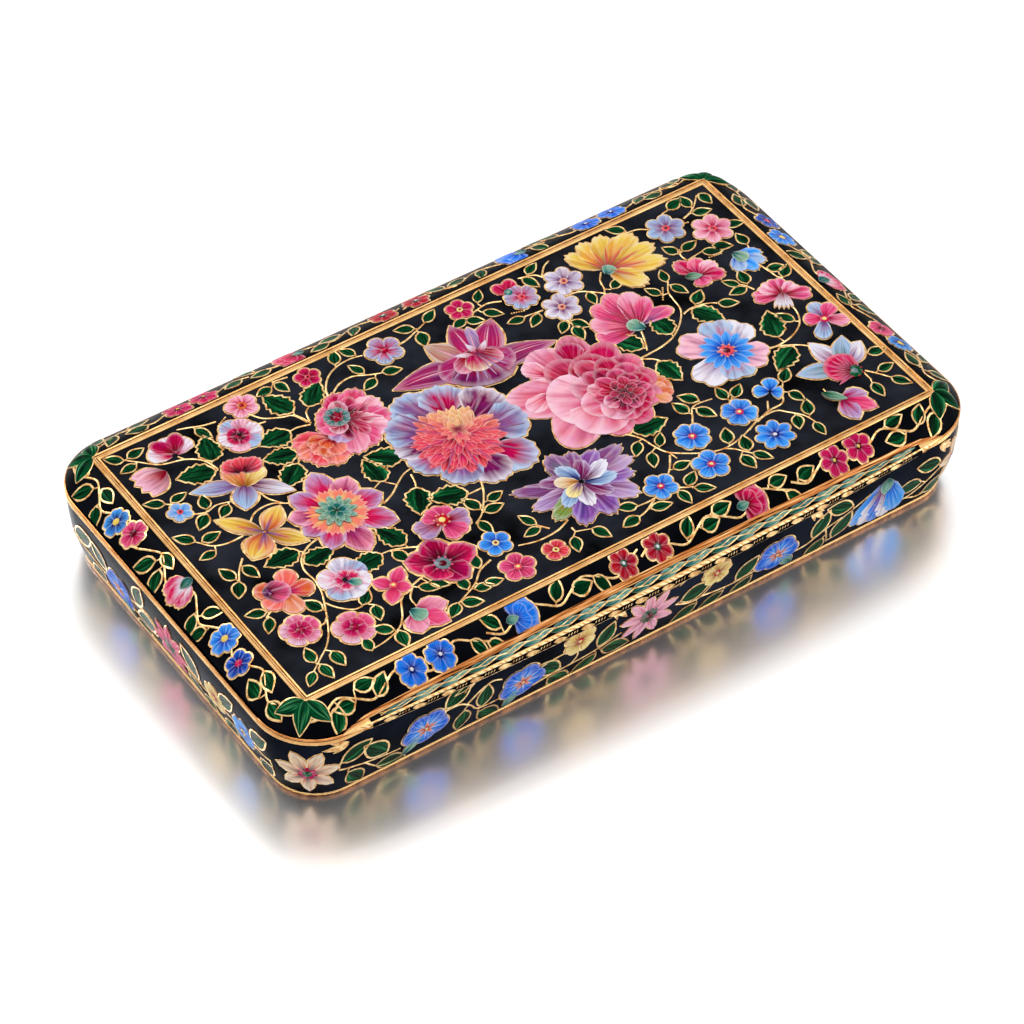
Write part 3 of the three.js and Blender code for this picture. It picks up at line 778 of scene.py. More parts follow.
def stamp(name, across, along, outline, swell, rim=0.0, rim_rise=0.1):
    """A closed pad, one unit long. outline and swell take x from -1 to 1 and y from 0 to 1."""
    bm = bmesh.new()
    bm.loops.layers.uv.new("UVMap")
    bmesh.ops.create_grid(bm, x_segments=across, y_segments=along, size=1, calc_uvs=True)
    for vert in bm.verts:
        x = vert.co.x
        y = (vert.co.y + 1) / 2
        flat_x, flat_y = outline(x, y)
        vert.co = (flat_x, flat_y, swell(x, y))
    if rim:
        made = bmesh.ops.inset_region(
            bm, faces=bm.faces[:], thickness=rim, use_boundary=True, use_even_offset=False,
            use_interpolate=True)
        for face in made["faces"]:
            face.material_index = 1
            for vert in face.verts:
                vert.co.z = rim_rise
    outer = [edge for edge in bm.edges if edge.is_boundary]
    made = bmesh.ops.extrude_edge_only(bm, edges=outer)
    low = [item for item in made["geom"] if isinstance(item, bmesh.types.BMVert)]
    for vert in low:
        vert.co.z = PAD_FOOT
    for face in [item for item in made["geom"] if isinstance(item, bmesh.types.BMFace)]:
        face.material_index = 1 if rim else 0
    open_edges = [edge for edge in bm.edges if edge.is_boundary]
    bmesh.ops.holes_fill(bm, edges=open_edges, sides=0)
    bmesh.ops.recalc_face_normals(bm, faces=bm.faces)
    mesh = bpy.data.meshes.new(name)
    bm.to_mesh(mesh)
    bm.free()
    return mesh


# %% Outlines and swells
PETAL_ROOT = 0.12


def blade(wide, fullest=0.42, teeth=0, bite=0.0):
    """Outline of a leaf: pointed at both ends, with teeth if asked."""
    power = math.log(0.5) / math.log(fullest)

    def outline(x, y):
        half = wide * max(math.sin(math.pi * y ** power), 0.03) ** 0.85
        if teeth and 0 < y < 1:
            half *= 1 + bite * (1 - 2 * ((y * teeth) % 1))
        return x * half, y
    return outline


def fan(angle, tip):
    """Outline of a petal that opens from a narrow root. tip gives its reach across."""
    half = math.radians(angle)

    def outline(x, y):
        reach = PETAL_ROOT + (tip(x) - PETAL_ROOT) * y
        return reach * math.sin(x * half), reach * math.cos(x * half)
    return outline


def round_tip(x):
    return 0.42 + 0.58 * (1 - abs(x) ** 2.3) ** (1 / 2.3)


def heart_tip(x):
    return round_tip(x) * (1 - 0.12 * math.exp(-((x / 0.24) ** 2)))


def point_tip(x):
    return 1 - 0.58 * abs(x) ** 1.2


def frill_tip(x):
    return round_tip(x) * (1 + 0.035 * math.cos(6.5 * math.pi * x))


def leaf_swell(x, y):
    return 0.045 + 0.035 * (1 - abs(x)) * math.sin(math.pi * y)


def lobe_swell(x, y):
    return 0.16 + 0.22 * (1 - x * x) * math.sin(math.pi * y)


def petal_swell(x, y):
    return 0.035 + 0.016 * (1 - x * x) + 0.012 * y


# %% The set of stamps
STAMPS = {
    "leaf": stamp("leaf", 4, 6, blade(0.3), leaf_swell, 0.07),
    "serrated": stamp("serrated", 4, 15, blade(0.32, 0.4, 5, 0.17), leaf_swell, 0.048),
    "long_leaf": stamp("long_leaf", 4, 7, blade(0.3, 0.45), leaf_swell, 0.052),
    "lobe": stamp("lobe", 6, 10, blade(0.3, 0.46), lobe_swell, 0.035, 0.14),
    "round": stamp("round", 8, 4, fan(50, round_tip), petal_swell),
    "heart": stamp("heart", 10, 4, fan(52, heart_tip), petal_swell),
    "pointed": stamp("pointed", 6, 5, fan(34, point_tip), petal_swell),
    "frill": stamp("frill", 16, 5, fan(58, frill_tip), petal_swell),
    "cup": stamp("cup", 14, 5, fan(66, round_tip), petal_swell),
    "lance": stamp("lance", 6, 9, blade(0.22, 0.5), petal_swell),
}


def dome(name, detail):
    """A low round bead, one unit across its radius."""
    bm = bmesh.new()
    bm.loops.layers.uv.new("UVMap")
    bmesh.ops.create_icosphere(bm, subdivisions=detail, radius=1, calc_uvs=True)
    bmesh.ops.scale(bm, vec=(1, 1, 0.1), verts=bm.verts)
    mesh = bpy.data.meshes.new(name)
    bm.to_mesh(mesh)
    bm.free()
    return mesh


STAMPS["dot"] = dome("dot", 1)
STAMPS["eye"] = dome("eye", 3)
REACH = {name: max(vert.co.x for vert in mesh.vertices) for name, mesh in STAMPS.items()}
print("faces in each stamp:", {name: len(mesh.polygons) for name, mesh in STAMPS.items()})

# %% [markdown]
# A sheet holds the ornament of one zone while it is still flat. Laying a stamp on it copies the
# stamp's points in, turned, stretched and bent, and gives the new faces their two paint colours.
# When a sheet is full, all its points are moved on to the box's surface in one go.

# %% Sheets that the stamps are laid on


def new_sheet():
    """An empty flat sheet, with the map and the two paint colours that its faces will need."""
    bm = bmesh.new()
    bm.loops.layers.uv.new("UVMap")
    bm.loops.layers.float_color.new("root")
    bm.loops.layers.float_color.new("tip")
    return bm


def put(sheet, kind, x, y, heading, length, width=1.0, bend=0.0, rise=0.0, root=None, tip=None):
    """Lays a stamp with its root at a point, running along heading (in degrees)."""
    first_vert = len(sheet.verts)
    first_face = len(sheet.faces)
    sheet.from_mesh(STAMPS[kind])
    sheet.verts.ensure_lookup_table()
    sheet.faces.ensure_lookup_table()
    ahead = math.cos(math.radians(heading))
    aside = math.sin(math.radians(heading))
    for vert in sheet.verts[first_vert:]:
        across = vert.co.x * length * width + bend * length * vert.co.y ** 2
        along = vert.co.y * length
        vert.co = (x + along * ahead + across * aside, y + along * aside - across * ahead, vert.co.z + rise)
    if root:
        root_layer = sheet.loops.layers.float_color["root"]
        tip_layer = sheet.loops.layers.float_color["tip"]
        for face in sheet.faces[first_face:]:
            for loop in face.loops:
                loop[root_layer] = root
                loop[tip_layer] = tip or root


def lay(sheet, surface_of, name, body, materials):
    """Moves a full sheet on to its surface and makes it a piece."""
    for vert in sheet.verts:
        vert.co = surface_of(*vert.co)
    print(name, "has", len(sheet.faces), "faces")
    return finished(sheet, name, body, materials, 50)


# %% [markdown]
# The stems are thin gold wires that taper to a thread. A curve is the easy way to draw them: it
# bends smoothly through a few points, and its bevel gives the wire. The curve is made a mesh
# while it is flat, pressed down a little, and laid on the surface as the sheets are.

# %% Stems
STEM_RADIUS = 0.115
STEM_SINK = 0.015
STEM_PRESS = 0.6


def smooth_route(points, steps=5):
    """Points along a smooth line through a few points."""
    route = []
    for index in range(len(points) - 1):
        before = Vector(points[max(index - 1, 0)])
        start = Vector(points[index])
        end = Vector(points[index + 1])
        after = Vector(points[min(index + 2, len(points) - 1)])
        for step in range(steps):
            t = step / steps
            pull_in = (end - before) * 0.5
            pull_out = (after - start) * 0.5
            route.append(
                start * (2 * t ** 3 - 3 * t ** 2 + 1) + pull_in * (t ** 3 - 2 * t ** 2 + t)
                + end * (3 * t ** 2 - 2 * t ** 3) + pull_out * (t ** 3 - t ** 2))
    route.append(Vector(points[-1]))
    return route


def lay_stems(routes, surface_of, name, body):
    """Wires along (points, start share, end share) routes, thick and thin by those shares."""
    curve = bpy.data.curves.new(name + "_curve", "CURVE")
    curve.dimensions = "3D"
    curve.bevel_depth = STEM_RADIUS
    curve.bevel_resolution = 1
    curve.use_fill_caps = True
    for points, thick, thin in routes:
        spline = curve.splines.new("POLY")
        spline.points.add(len(points) - 1)
        for index, point in enumerate(points):
            share = index / (len(points) - 1)
            spline.points[index].co = (point[0], point[1], 0, 1)
            spline.points[index].radius = thick + (thin - thick) * share
    wire = bpy.data.objects.new(name + "_curve", curve)
    bpy.context.scene.collection.objects.link(wire)
    drawn = wire.evaluated_get(bpy.context.evaluated_depsgraph_get())
    mesh = bpy.data.meshes.new_from_object(drawn)
    bm = bmesh.new()
    bm.from_mesh(mesh)
    bpy.data.objects.remove(wire)
    bpy.data.meshes.remove(mesh)
    for vert in bm.verts:
        vert.co = surface_of(vert.co.x, vert.co.y, vert.co.z * STEM_PRESS + STEM_SINK)
    print(name, "has", len(routes), "wires and", len(bm.faces), "faces")
    return finished(bm, name, body, [line_gold], 60)


print("stems are", 2 * STEM_RADIUS, "mm thick")

# %% Leaves that follow the stems
TWIG_SHORTEST = 0.15
TWIG_LONGEST = 3.5


def nearest_on(routes, x, y):
    """The closest drawn point of any stem, and the stem's heading there."""
    best = None
    for route in routes:
        for index in range(len(route) - 1):
            gap = math.hypot(route[index].x - x, route[index].y - y)
            if best is None or gap < best[0]:
                run = route[index + 1] - route[index]
                best = (gap, route[index], math.degrees(math.atan2(run.y, run.x)))
    return best


def grow_leaves(sheet, twigs, routes, spots, kind, length, rng, lean=0.4):
    """Leaves centred on spots. Each points away from the nearest stem and leans along it."""
    for x, y in spots:
        gap, foot, run = nearest_on(routes, x, y)
        away = math.atan2(y - foot.y, x - foot.x)
        along = math.radians(run)
        if math.cos(away - along) < 0 and gap > 0.6:
            along += math.pi
        mixed_x = math.cos(away) * (1 - lean) + math.cos(along) * lean
        mixed_y = math.sin(away) * (1 - lean) + math.sin(along) * lean
        heading = math.atan2(mixed_y, mixed_x)
        size = length * rng.uniform(0.9, 1.08)
        reach = min(size / 2, max(gap, 0.3))
        root = Vector((x - math.cos(heading) * reach, y - math.sin(heading) * reach))
        gap, foot, run = nearest_on(routes, root.x, root.y)
        if TWIG_SHORTEST < gap < TWIG_LONGEST:
            twigs.append((smooth_route([foot, root], 2), 0.8, 0.6))
        put(
            sheet, kind, root.x, root.y, math.degrees(heading), size,
            rng.uniform(0.92, 1.1), rng.uniform(-0.12, 0.12))


# %% [markdown]
# Leaves are deep green glass over gold, so they are darkest where the glass is thickest and show
# lighter streaks along the ribs. Petals are opaque enamel, painted by brush: deep at the root,
# pale at the tip and brightest at the edge. A painted shade darkens each petal further towards its
# root, where the petals overlap. Each petal's two colours ride on its faces, so one material
# paints every flower.

# %% Leaf green and painted petals
GLAZE_GLOSS = 0.02
PALE_FROM = 1.72
PALE_TO = 2.35


def mix(tree, factor, first, second, blend="MIX"):
    """Mixes two colours. Each may be a socket or a plain colour."""
    sockets = {0: factor, 6: first, 7: second}
    return add(tree, "ShaderNodeMix", sockets, data_type="RGBA", blend_type=blend).outputs[2]


def glaze(tree, colour, source, low, high, over, blend="MIX"):
    """Lays one colour over another, as much as a factor says. low and high are (place, amount)."""
    amount = ramp(tree, source, [(low[0], grey(low[1])), (high[0], grey(high[1]))])
    return mix(tree, amount, colour, over, blend)


def brushed(tree, across, along):
    """The brush streaks, so many across and along a petal."""
    return add(tree, "ShaderNodeGroup", {"Across": across, "Along": along}, node_tree=streaks).outputs


def leaf_enamel(name, deep, mid, bright):
    """Green glass with streaks that run along the leaf."""
    material, tree, shader = shaded(name, 0, GLAZE_GLOSS)
    brush = brushed(tree, 8, 1.2)
    colour = ramp(tree, brush["Streaks"], [(0.36, deep), (0.56, mid), (0.76, bright)])
    rib = ramp(tree, brush["Aside"], [(0.02, grey(0.5)), (0.12, grey(1))])
    feed(tree, shader, {
        "Base Color": mix(tree, 1, colour, rib, "MULTIPLY"),
        "Roughness": ramp(tree, brush["Streaks"], [(0.3, grey(0.2)), (0.7, grey(0.36))]),
    })
    bumped(tree, brush["Streaks"], shader, 0.4, 0.00003)
    return material


def painted_enamel(name):
    """Opaque enamel, brushed from a face's root colour to its tip colour."""
    material, tree, shader = shaded(name, 0, GLAZE_GLOSS)
    brush = brushed(tree, 5, 1.1)
    root = add(tree, "ShaderNodeAttribute", attribute_name="root").outputs
    tip = add(tree, "ShaderNodeAttribute", attribute_name="tip").outputs
    wander = maths(tree, "MULTIPLY_ADD", brush["Streaks"], 1.1, brush["Run"])
    # The root colour's alpha tells how soon the petal turns pale: a lower one keeps it dark longer
    sooner = maths(tree, "ADD", wander, root["Alpha"])
    turned = add(
        tree, "ShaderNodeMapRange", {"Value": sooner, "From Min": PALE_FROM, "From Max": PALE_TO})
    colour = mix(tree, turned.outputs["Result"], root["Color"], tip["Color"])
    deep = mix(tree, 0.75, colour, root["Color"], "MULTIPLY")
    colour = glaze(tree, colour, brush["Lines"], (0.34, 0.6), (0.48, 0), deep)
    colour = glaze(tree, colour, brush["Lines"], (0.54, 0), (0.74, 0.24), paint(240, 236, 242))
    sockets = {"Patch Scale": 620, "Pit Scale": 7000}
    patches = add(tree, "ShaderNodeGroup", sockets, node_tree=clouds).outputs["Patches"]
    colour = glaze(tree, colour, patches, (0.36, 0.32), (0.54, 0), paint(150, 164, 214), "SOFT_LIGHT")
    colour = glaze(tree, colour, patches, (0.52, 0), (0.68, 0.28), paint(240, 170, 150), "SOFT_LIGHT")
    # Painted shade: each petal is darkened to under half towards its root, where the petals overlap.
    shade = ramp(tree, brush["Run"], [(0.0, grey(0.45)), (0.4, grey(1))])
    colour = mix(tree, 1, colour, shade, "MULTIPLY")
    colour = glaze(tree, colour, brush["Edge"], (0.34, 0), (0.46, 0.2), paint(250, 240, 244))
    roughness = ramp(tree, brush["Streaks"], [(0.3, grey(0.26)), (0.7, grey(0.42))])
    feed(tree, shader, {"Base Color": colour, "Roughness": roughness})
    bumped(tree, brush["Streaks"], shader, 0.25, 0.00002)
    return material


leaf_green = leaf_enamel("leaf_green", paint(0, 26, 16), paint(2, 70, 38), paint(48, 140, 84))
lobe_green = leaf_enamel("lobe_green", paint(0, 30, 20), paint(2, 84, 48), paint(96, 176, 118))
petal_paint = painted_enamel("petal_paint")
print("painted finishes:", leaf_green.name, lobe_green.name, petal_paint.name)

# %% [markdown]
# The panel's sprays come next. The stems are drawn first, as routes of a few points each, because
# the leaves take their direction from the nearest stem. The places follow the real layout.

# %% Where the panel's stems run
PANEL_ROUTES = [
    [(-30.4, 12.3), (-31, 14.3), (-32.6, 15.6), (-35.2, 16.4), (-36.8, 17.9), (-38.2, 19.3)],
    [(-32.6, 15.6), (-33, 16.4)],
    [(-26.8, 18.7), (-28.3, 19), (-29.8, 19.6), (-31, 20)],
    [(-23.2, 17.8), (-22.3, 16.3), (-20.5, 15.3), (-19.3, 14.8), (-18.6, 13)],
    [(-22.3, 15.7), (-23.6, 15.9)],
    [(-18.5, 12.6), (-20, 13), (-21, 12.9)],
    [(-20.6, 11.2), (-22, 9), (-23, 8.2)],
    [(-36.5, 8.2), (-35, 7.5), (-33.4, 7.8), (-31.9, 7.4)],
    [(-37.1, 10.3), (-37.9, 11)],
    [(-33.5, 2.3), (-35.5, 2.3), (-37, 2.9), (-38, 4.2)],
    [(-31.9, 3.5), (-30.5, 4.6), (-28.5, 4.7), (-27, 3.8), (-26, 3.2)],
    [(-28.6, 7), (-28.3, 5.5), (-27.3, 4)],
    [(-35.3, -0.5), (-36.5, -1.8), (-37.4, -3.3)],
    [(-26.9, -2.4), (-28.5, -2.8), (-30, -3.8), (-30.8, -5.5), (-30.7, -7.5), (-31, -9.2),
     (-31.6, -10.7), (-32.2, -12), (-33.5, -14.5), (-34.7, -16), (-36, -17), (-38, -18.5)],
    [(-32.4, -12.5), (-33.2, -13.2), (-34.2, -13.2)],
    [(-31.6, -10.7), (-30.9, -12), (-29.5, -13.3), (-28, -13.2)],
    [(-34.8, -8.4), (-36.9, -8.7), (-37.8, -9.2)],
    [(-19.8, -13), (-22.5, -13.7), (-24.5, -14.6), (-26, -17), (-27.3, -18.2), (-29.5, -18.9),
     (-31.5, -19.1)],
    [(-22.7, -13.9), (-23.8, -15.2), (-23.9, -16.5)],
    [(-18.6, -9.7), (-20, -8.9), (-21.5, -8.3), (-23, -8.1)],
    [(-16.6, 20.3), (-18.5, 20.6)],
    [(-18.3, 12.7), (-18.7, 13.9), (-19.2, 15)],
    [(-18.3, 13), (-17.9, 14.4), (-17.2, 15)],
    [(-14.6, 14.6), (-14.2, 16.2), (-12.9, 17.8), (-11.2, 18.7), (-9.3, 18.9), (-7.9, 18.6)],
    [(-14, 15.2), (-12.5, 16.2), (-10.7, 16.4), (-9, 15.6), (-7.5, 15)],
    [(-3.7, 17.8), (-2.4, 18), (-0.8, 18.6), (0.8, 19.2)],
    [(-11, 8.1), (-9.8, 7.8), (-8.9, 7.3)],
    [(-18.6, -2), (-17, -1.3), (-15.5, -0.2), (-14.2, 0.6), (-12.8, 0.9)],
    [(-13.7, 0), (-14, -1.2), (-14.4, -2)],
    [(-8, -4.9), (-8.6, -6.3), (-9.6, -7.8), (-10.8, -9.2), (-12.1, -10)],
    [(-8.6, -5.9), (-10.5, -5.9)],
    [(-3.7, -15), (-5.5, -15.7), (-8, -15.8), (-10.2, -15.2)],
    [(-6, -15), (-7, -13.6)],
    [(-13.8, -15.3), (-15.5, -15.9), (-17, -17.2), (-18.8, -18.1), (-20.5, -18.8)],
    [(-4, -16.2), (-4, -17)],
    [(9.8, 17.3), (8.2, 17.9), (6.4, 17.6), (4.6, 17.2)],
    [(15.9, 18), (15.2, 18.9), (13.4, 19.4)],
    [(15.9, 18.2), (17, 19.4), (18, 19.9)],
    [(12.8, 13.5), (11.8, 13.6), (10.5, 13.8)],
    [(14.3, 11.3), (14.1, 10)],
    [(16.3, 14), (18, 13.7), (19.5, 12.5), (20.2, 11.8)],
    [(15.5, 1.7), (16.8, 1.1), (18.6, 1.1), (20.5, 1.3), (22.4, 1.9), (24.3, 3.3), (25.6, 5),
     (25.9, 6.8), (26.2, 8.2), (27.2, 9.6)],
    [(17, 1), (18.3, 0.2), (18.9, -0.6)],
    [(19.9, 4.6), (19.3, 3), (18.6, 1.6)],
    [(7.6, -7), (9, -7.9), (10, -9.4), (10.4, -11), (11, -12.5), (12.5, -13.8), (14.5, -15),
     (16.5, -15.6), (18.8, -15.3), (20.8, -14.6)],
    [(11.2, -12.8), (11.4, -14)],
    [(11, -13.2), (9.9, -14.7), (8.9, -15.6)],
    [(15.6, -11), (16.5, -9.8), (17.6, -8.4), (20, -8.6)],
    [(6.2, -17.5), (5, -17.6), (3.5, -17.5)],
    [(5.7, -17.7), (4, -18.6), (2.8, -18.9)],
    [(8.8, -17.6), (9.8, -18.2), (10.4, -18.4)],
    [(16.5, -15.6), (17.4, -16.3), (18.2, -17.4)],
    [(21.8, 15), (20.9, 13.9), (20.5, 12.5), (19.9, 11.8)],
    [(26.5, 18.5), (28, 18.8), (29.4, 18.6), (30.4, 17.9)],
    [(32.6, 18.4), (33.3, 19.2), (34.4, 19.4)],
    [(34.8, 17.2), (36, 17.6), (37.2, 18.4), (38.4, 19.6)],
    [(31, 11.2), (30.9, 12.2), (31.4, 13.2)],
    [(25.4, 4.2), (26.7, 4.5), (28.5, 4.2), (29.6, 3.6)],
    [(34.4, 3), (34, 4), (33.6, 4.6)],
    [(37.3, 6.3), (37.6, 4.6), (37.8, 3.2)],
    [(29.5, -5.6), (31.2, -5.8), (33.4, -5.4), (35.2, -4.3), (36.1, -2.7), (36.3, -1)],
    [(29, -5.4), (31, -5.9), (33, -7), (34.2, -8.2), (35.2, -9.5)],
    [(37.2, -12.3), (38.6, -12.4)],
    [(36.6, -14.4), (37.5, -15.6), (38.4, -17)],
    [(36.3, -14.5), (36.3, -16)],
    [(20.4, -14.8), (22.4, -14), (24.6, -14), (25.6, -14.9), (26.8, -16.4), (27.2, -18)],
    [(21.9, -14.3), (23.9, -13.6), (26, -13.4), (27, -12), (28, -10.8)],
    [(24, -13.5), (24.8, -12.3)],
    [(21.5, -10.3), (21.9, -9.6)],
    [(30.9, -16.2), (31, -14.2)],
]
print("stems on the panel:", len(PANEL_ROUTES))

# %% Where the panel's leaves lie
# The leaf places were read off a ruler whose zero lay this far from the box's middle
RULER_ZERO = Vector((0.3, 0.45))
PANEL_LEAVES = [
    (-38.6, 20), (-36.3, 19.8), (-38.1, 18.1), (-30.6, 20.4), (-27.5, 20.4), (-28.6, 18.3),
    (-19.7, 20.1), (-17.6, 19.7), (-10.5, 20.2), (-8.6, 20.2), (-9.2, 17.1), (-9.4, 14.6),
    (-6.4, 15.2), (-1.4, 19.9), (-0.6, 17.4), (-38.5, 12), (-36.2, 11.4), (-34, 9.2), (-35.6, 7),
    (-32.9, 6.9), (-38.6, 5.8), (-36.4, 4.4), (-37.8, 2.2), (1.3, 19.8), (8.3, 19.9), (4.4, 17.4),
    (5.8, 16.7), (8.2, 16.6), (15.5, 20.2), (14.3, 19.1), (19, 20.4), (9.6, 14.1), (11.6, 13),
    (18.8, 12.8), (22.5, 12.9), (13.4, 10.4), (14.7, 10.5), (14.3, 8.6), (27.8, 20.1), (30.3, 20.3),
    (33.9, 20.5), (34.7, 19.9), (36.9, 19.6), (38.7, 20.3), (39.3, 19.1), (37.4, 17.4), (30.8, 13.8),
    (32.5, 13.4), (39.4, 13.6), (34.5, 11.2), (36.1, 11.4), (38.6, 11.1), (27.4, 10.6), (25, 9.5),
    (27.7, 8.2), (28.4, 5.8), (30.9, 3.2), (33, 5.7), (34.9, 5.7), (33.1, 4.2), (38.1, 5.4),
    (39.6, 6.3), (39.4, 4.1), (-37.6, -1.3), (-35.3, -2.1), (-37.8, -3.8), (-21.1, -8.9),
    (-37.9, -7.8), (-37.8, -9.9), (-32.5, -10.2), (-28.1, -12.7), (-27.6, -14.6), (-21, -14.6),
    (-19.8, -14.7), (-36.7, -15.9), (-38.2, -18.6), (-36.4, -18.6), (-34.4, -17.8), (-28.2, -17.1),
    (-30.9, -18.6), (-27.2, -18.5), (-17.8, -16.3), (-20, -18.3), (-19, -18.6), (-16.3, -17.8),
    (-15, -17.7), (-15.1, -14.6), (-10.4, -7.3), (-7.8, -7.4), (-9.4, -8.7), (-11.3, -9.9),
    (-7, -12.4), (-7.5, -13.9), (-4.7, -18.1), (-1.4, -18.1), (8.9, -10), (11.8, -10.2),
    (9.3, -12.3), (11.5, -14.7), (16.6, -7.7), (18.3, -6.8), (18.4, -9.6), (21.5, -8.1),
    (23.1, -8.7), (18.1, -13.9), (34.7, -2.2), (29, -9.7), (28.3, -13), (28, -15.2), (25.9, -16.4),
    (27.2, -18.4), (39.9, -10.2), (39.3, -12.1), (39.1, -14.9), (36.2, -17.2), (39.1, -17.4),
    (3.7, -16.9), (2.1, -18.6), (5.6, -18.4), (9, -18.8), (10.6, -17.2), (11.5, -18.9),
    (17.7, -18.3), (19, -16.3), (19.6, -18.4),
]
PANEL_BIG_LEAVES = [
    (-29.7, 14.9), (-32.5, 13.3), (-19.2, 16.9), (-16.4, 16), (-22, 13.2), (-23.6, 10.7),
    (-23.4, 7.9), (-16.3, 3.2), (-14.4, 4.4), (18.1, 3.9), (22.7, 4.2), (27.5, 3.5), (-31, -2.5),
    (-28.8, -4.3), (-23.6, -7.9), (-20.1, -6.5), (-14.5, -2.4), (-11.6, -4.7), (19.1, -1.9),
    (11.9, -7.8), (32.7, -2.2), (31.4, -7.1),
]
print("leaves on the panel:", len(PANEL_LEAVES) + len(PANEL_BIG_LEAVES))

# %% Stems and leaves of the panel
LEAF_MARGIN = 0.9
rng = random.Random(11)
routes = [smooth_route(points) for points in PANEL_ROUTES]
panel_wires = [(route, 1.1, 0.75) for route in routes]
sheet = new_sheet()
small = [Vector(spot) - RULER_ZERO for spot in PANEL_LEAVES]
large = [Vector(spot) - RULER_ZERO for spot in PANEL_BIG_LEAVES]
small = [
    spot for spot in small
    if abs(spot.x) < panel_high.x - LEAF_MARGIN and abs(spot.y) < panel_high.y - LEAF_MARGIN
]
grow_leaves(sheet, panel_wires, routes, small, "leaf", 2.5, rng)
grow_leaves(sheet, panel_wires, routes, large, "serrated", 4.3, rng)
lay(sheet, on_lid, "panel_leaves", "lid", [leaf_green, line_gold])
lay_stems(panel_wires, on_lid, "panel_stems", "lid")

# %% [markdown]
# Most flowers are rosettes: a ring of like petals round an eye. Each petal first lays a gold pad
# a little larger than itself, so the gold shows only round the outside of the whole flower.
# The petals then go down in turn, each a hair above the last, as shingles do.

# %% Paints for the petals
COLOURS = {name: paint(*levels) for name, *levels in (
    ("white", 232, 228, 238), ("cream", 232, 212, 176), ("pale_blue", 160, 188, 220),
    ("sky", 70, 164, 244), ("blue", 14, 92, 206), ("navy", 12, 40, 120), ("pink", 232, 88, 132),
    ("pale_pink", 238, 150, 174), ("rose", 212, 30, 90), ("crimson", 158, 6, 44), ("red", 190, 24, 36),
    ("magenta", 186, 14, 82), ("coral", 236, 80, 92), ("orange", 222, 112, 62),
    ("peach", 236, 158, 120), ("yellow", 238, 204, 92), ("ochre", 198, 132, 46),
    ("lilac", 182, 146, 190), ("mauve", 140, 84, 136), ("purple", 112, 32, 84), ("grey", 120, 140, 140),
    ("teal", 30, 116, 110), ("green", 20, 92, 56), ("lime", 120, 150, 70), ("wine", 168, 46, 104),
    ("violet", 140, 88, 168), ("azure", 34, 128, 236), ("plum", 120, 26, 88), ("maroon", 96, 8, 30),
    ("blush", 246, 184, 200), ("salmon", 244, 132, 112), ("straw", 248, 228, 140),
    ("mint", 130, 176, 150),
)}


def tone(colour):
    """A named colour, or one already mixed."""
    return COLOURS[colour] if isinstance(colour, str) else colour


def late(colour, share=0.35):
    """A root colour that keeps its petal dark for longer on the way to the tip."""
    return (*tone(colour)[:3], 1 - share)


def between(first, second, share):
    """A colour part of the way from one to another."""
    return tuple(a + (b - a) * share for a, b in zip(tone(first), tone(second)))


print("paints:", len(COLOURS))

# %% Petals, rings and eyes
GOLD_EDGE = 0.19
PETAL_RISE = 0.05
PAD_SINK = -0.012
SHINGLE = 0.008


def petal(ground, kind, x, y, heading, length, width, root, tip, bend=0.0, rise=0.0, backed=True):
    """One painted petal. Backed ones lie on a gold pad that shows all round them."""
    if backed:
        reach = REACH[kind]
        wider = width * (length * reach + GOLD_EDGE) / (reach * length) / (1 + GOLD_EDGE / length)
        put(ground[0], kind, x, y, heading, length + GOLD_EDGE, wider, bend, PAD_SINK)
    put(ground[1], kind, x, y, heading, length, width, bend, rise + PETAL_RISE, tone(root), tone(tip))


def ring(ground, x, y, outer, count, kind, root, tip, turn=0.0, length=0.0, rise=0.0, squash=1.0,
         backed=True, overlap=1.3, side=None):
    """Petals round a point. squash flattens the ring as a flower turned from the eye.

    side is (heading, root, tip), two more colours for the petals that point that way.
    """
    length = length or outer
    for index in range(count):
        heading = turn + 360 * index / count
        lean_x = math.cos(math.radians(heading))
        lean_y = math.sin(math.radians(heading)) * squash
        shrink = math.hypot(lean_x, lean_y)
        half = overlap * (outer - 0.4 * length) * math.pi / count
        width = half / (REACH[kind] * length * shrink)
        near = ((1 + math.cos(math.radians(heading - side[0]))) / 2) ** 0.8 if side else 0
        petal(
            ground, kind, x + lean_x * (outer - length), y + lean_y * (outer - length),
            math.degrees(math.atan2(lean_y, lean_x)), length * shrink, width,
            between(root, side[1], near) if side else root,
            between(tip, side[2], near) if side else tip,
            0, rise + SHINGLE * (index % 3) + SHINGLE * 0.1 * index, backed)


def eye(ground, x, y, radius, colour, middle=None, seeds=None, rise=0.07):
    """A round middle, with a smaller dot and a ring of tiny seeds if their colours are given."""
    put(ground[1], "eye", x, y, 0, radius, 1, 0, rise, tone(colour), tone(colour))
    if middle:
        put(ground[1], "eye", x, y, 0, radius * 0.5, 1, 0, rise + 0.04, tone(middle), tone(middle))
    if seeds:
        count = max(6, int(radius * 9))
        for index in range(count):
            turn = 2 * math.pi * index / count
            put(
                ground[1], "dot", x + radius * math.cos(turn), y + radius * math.sin(turn), 0, 0.17, 1, 0,
                rise + 0.02, tone(seeds), tone(seeds))


def gold_dots(ground, start, end, count):
    """A row of tiny gold beads, as between a stem and a bud."""
    for index in range(count):
        spot = Vector(start).lerp(Vector(end), index / (count - 1))
        put(ground[0], "dot", spot.x, spot.y, 0, 0.15, 1)


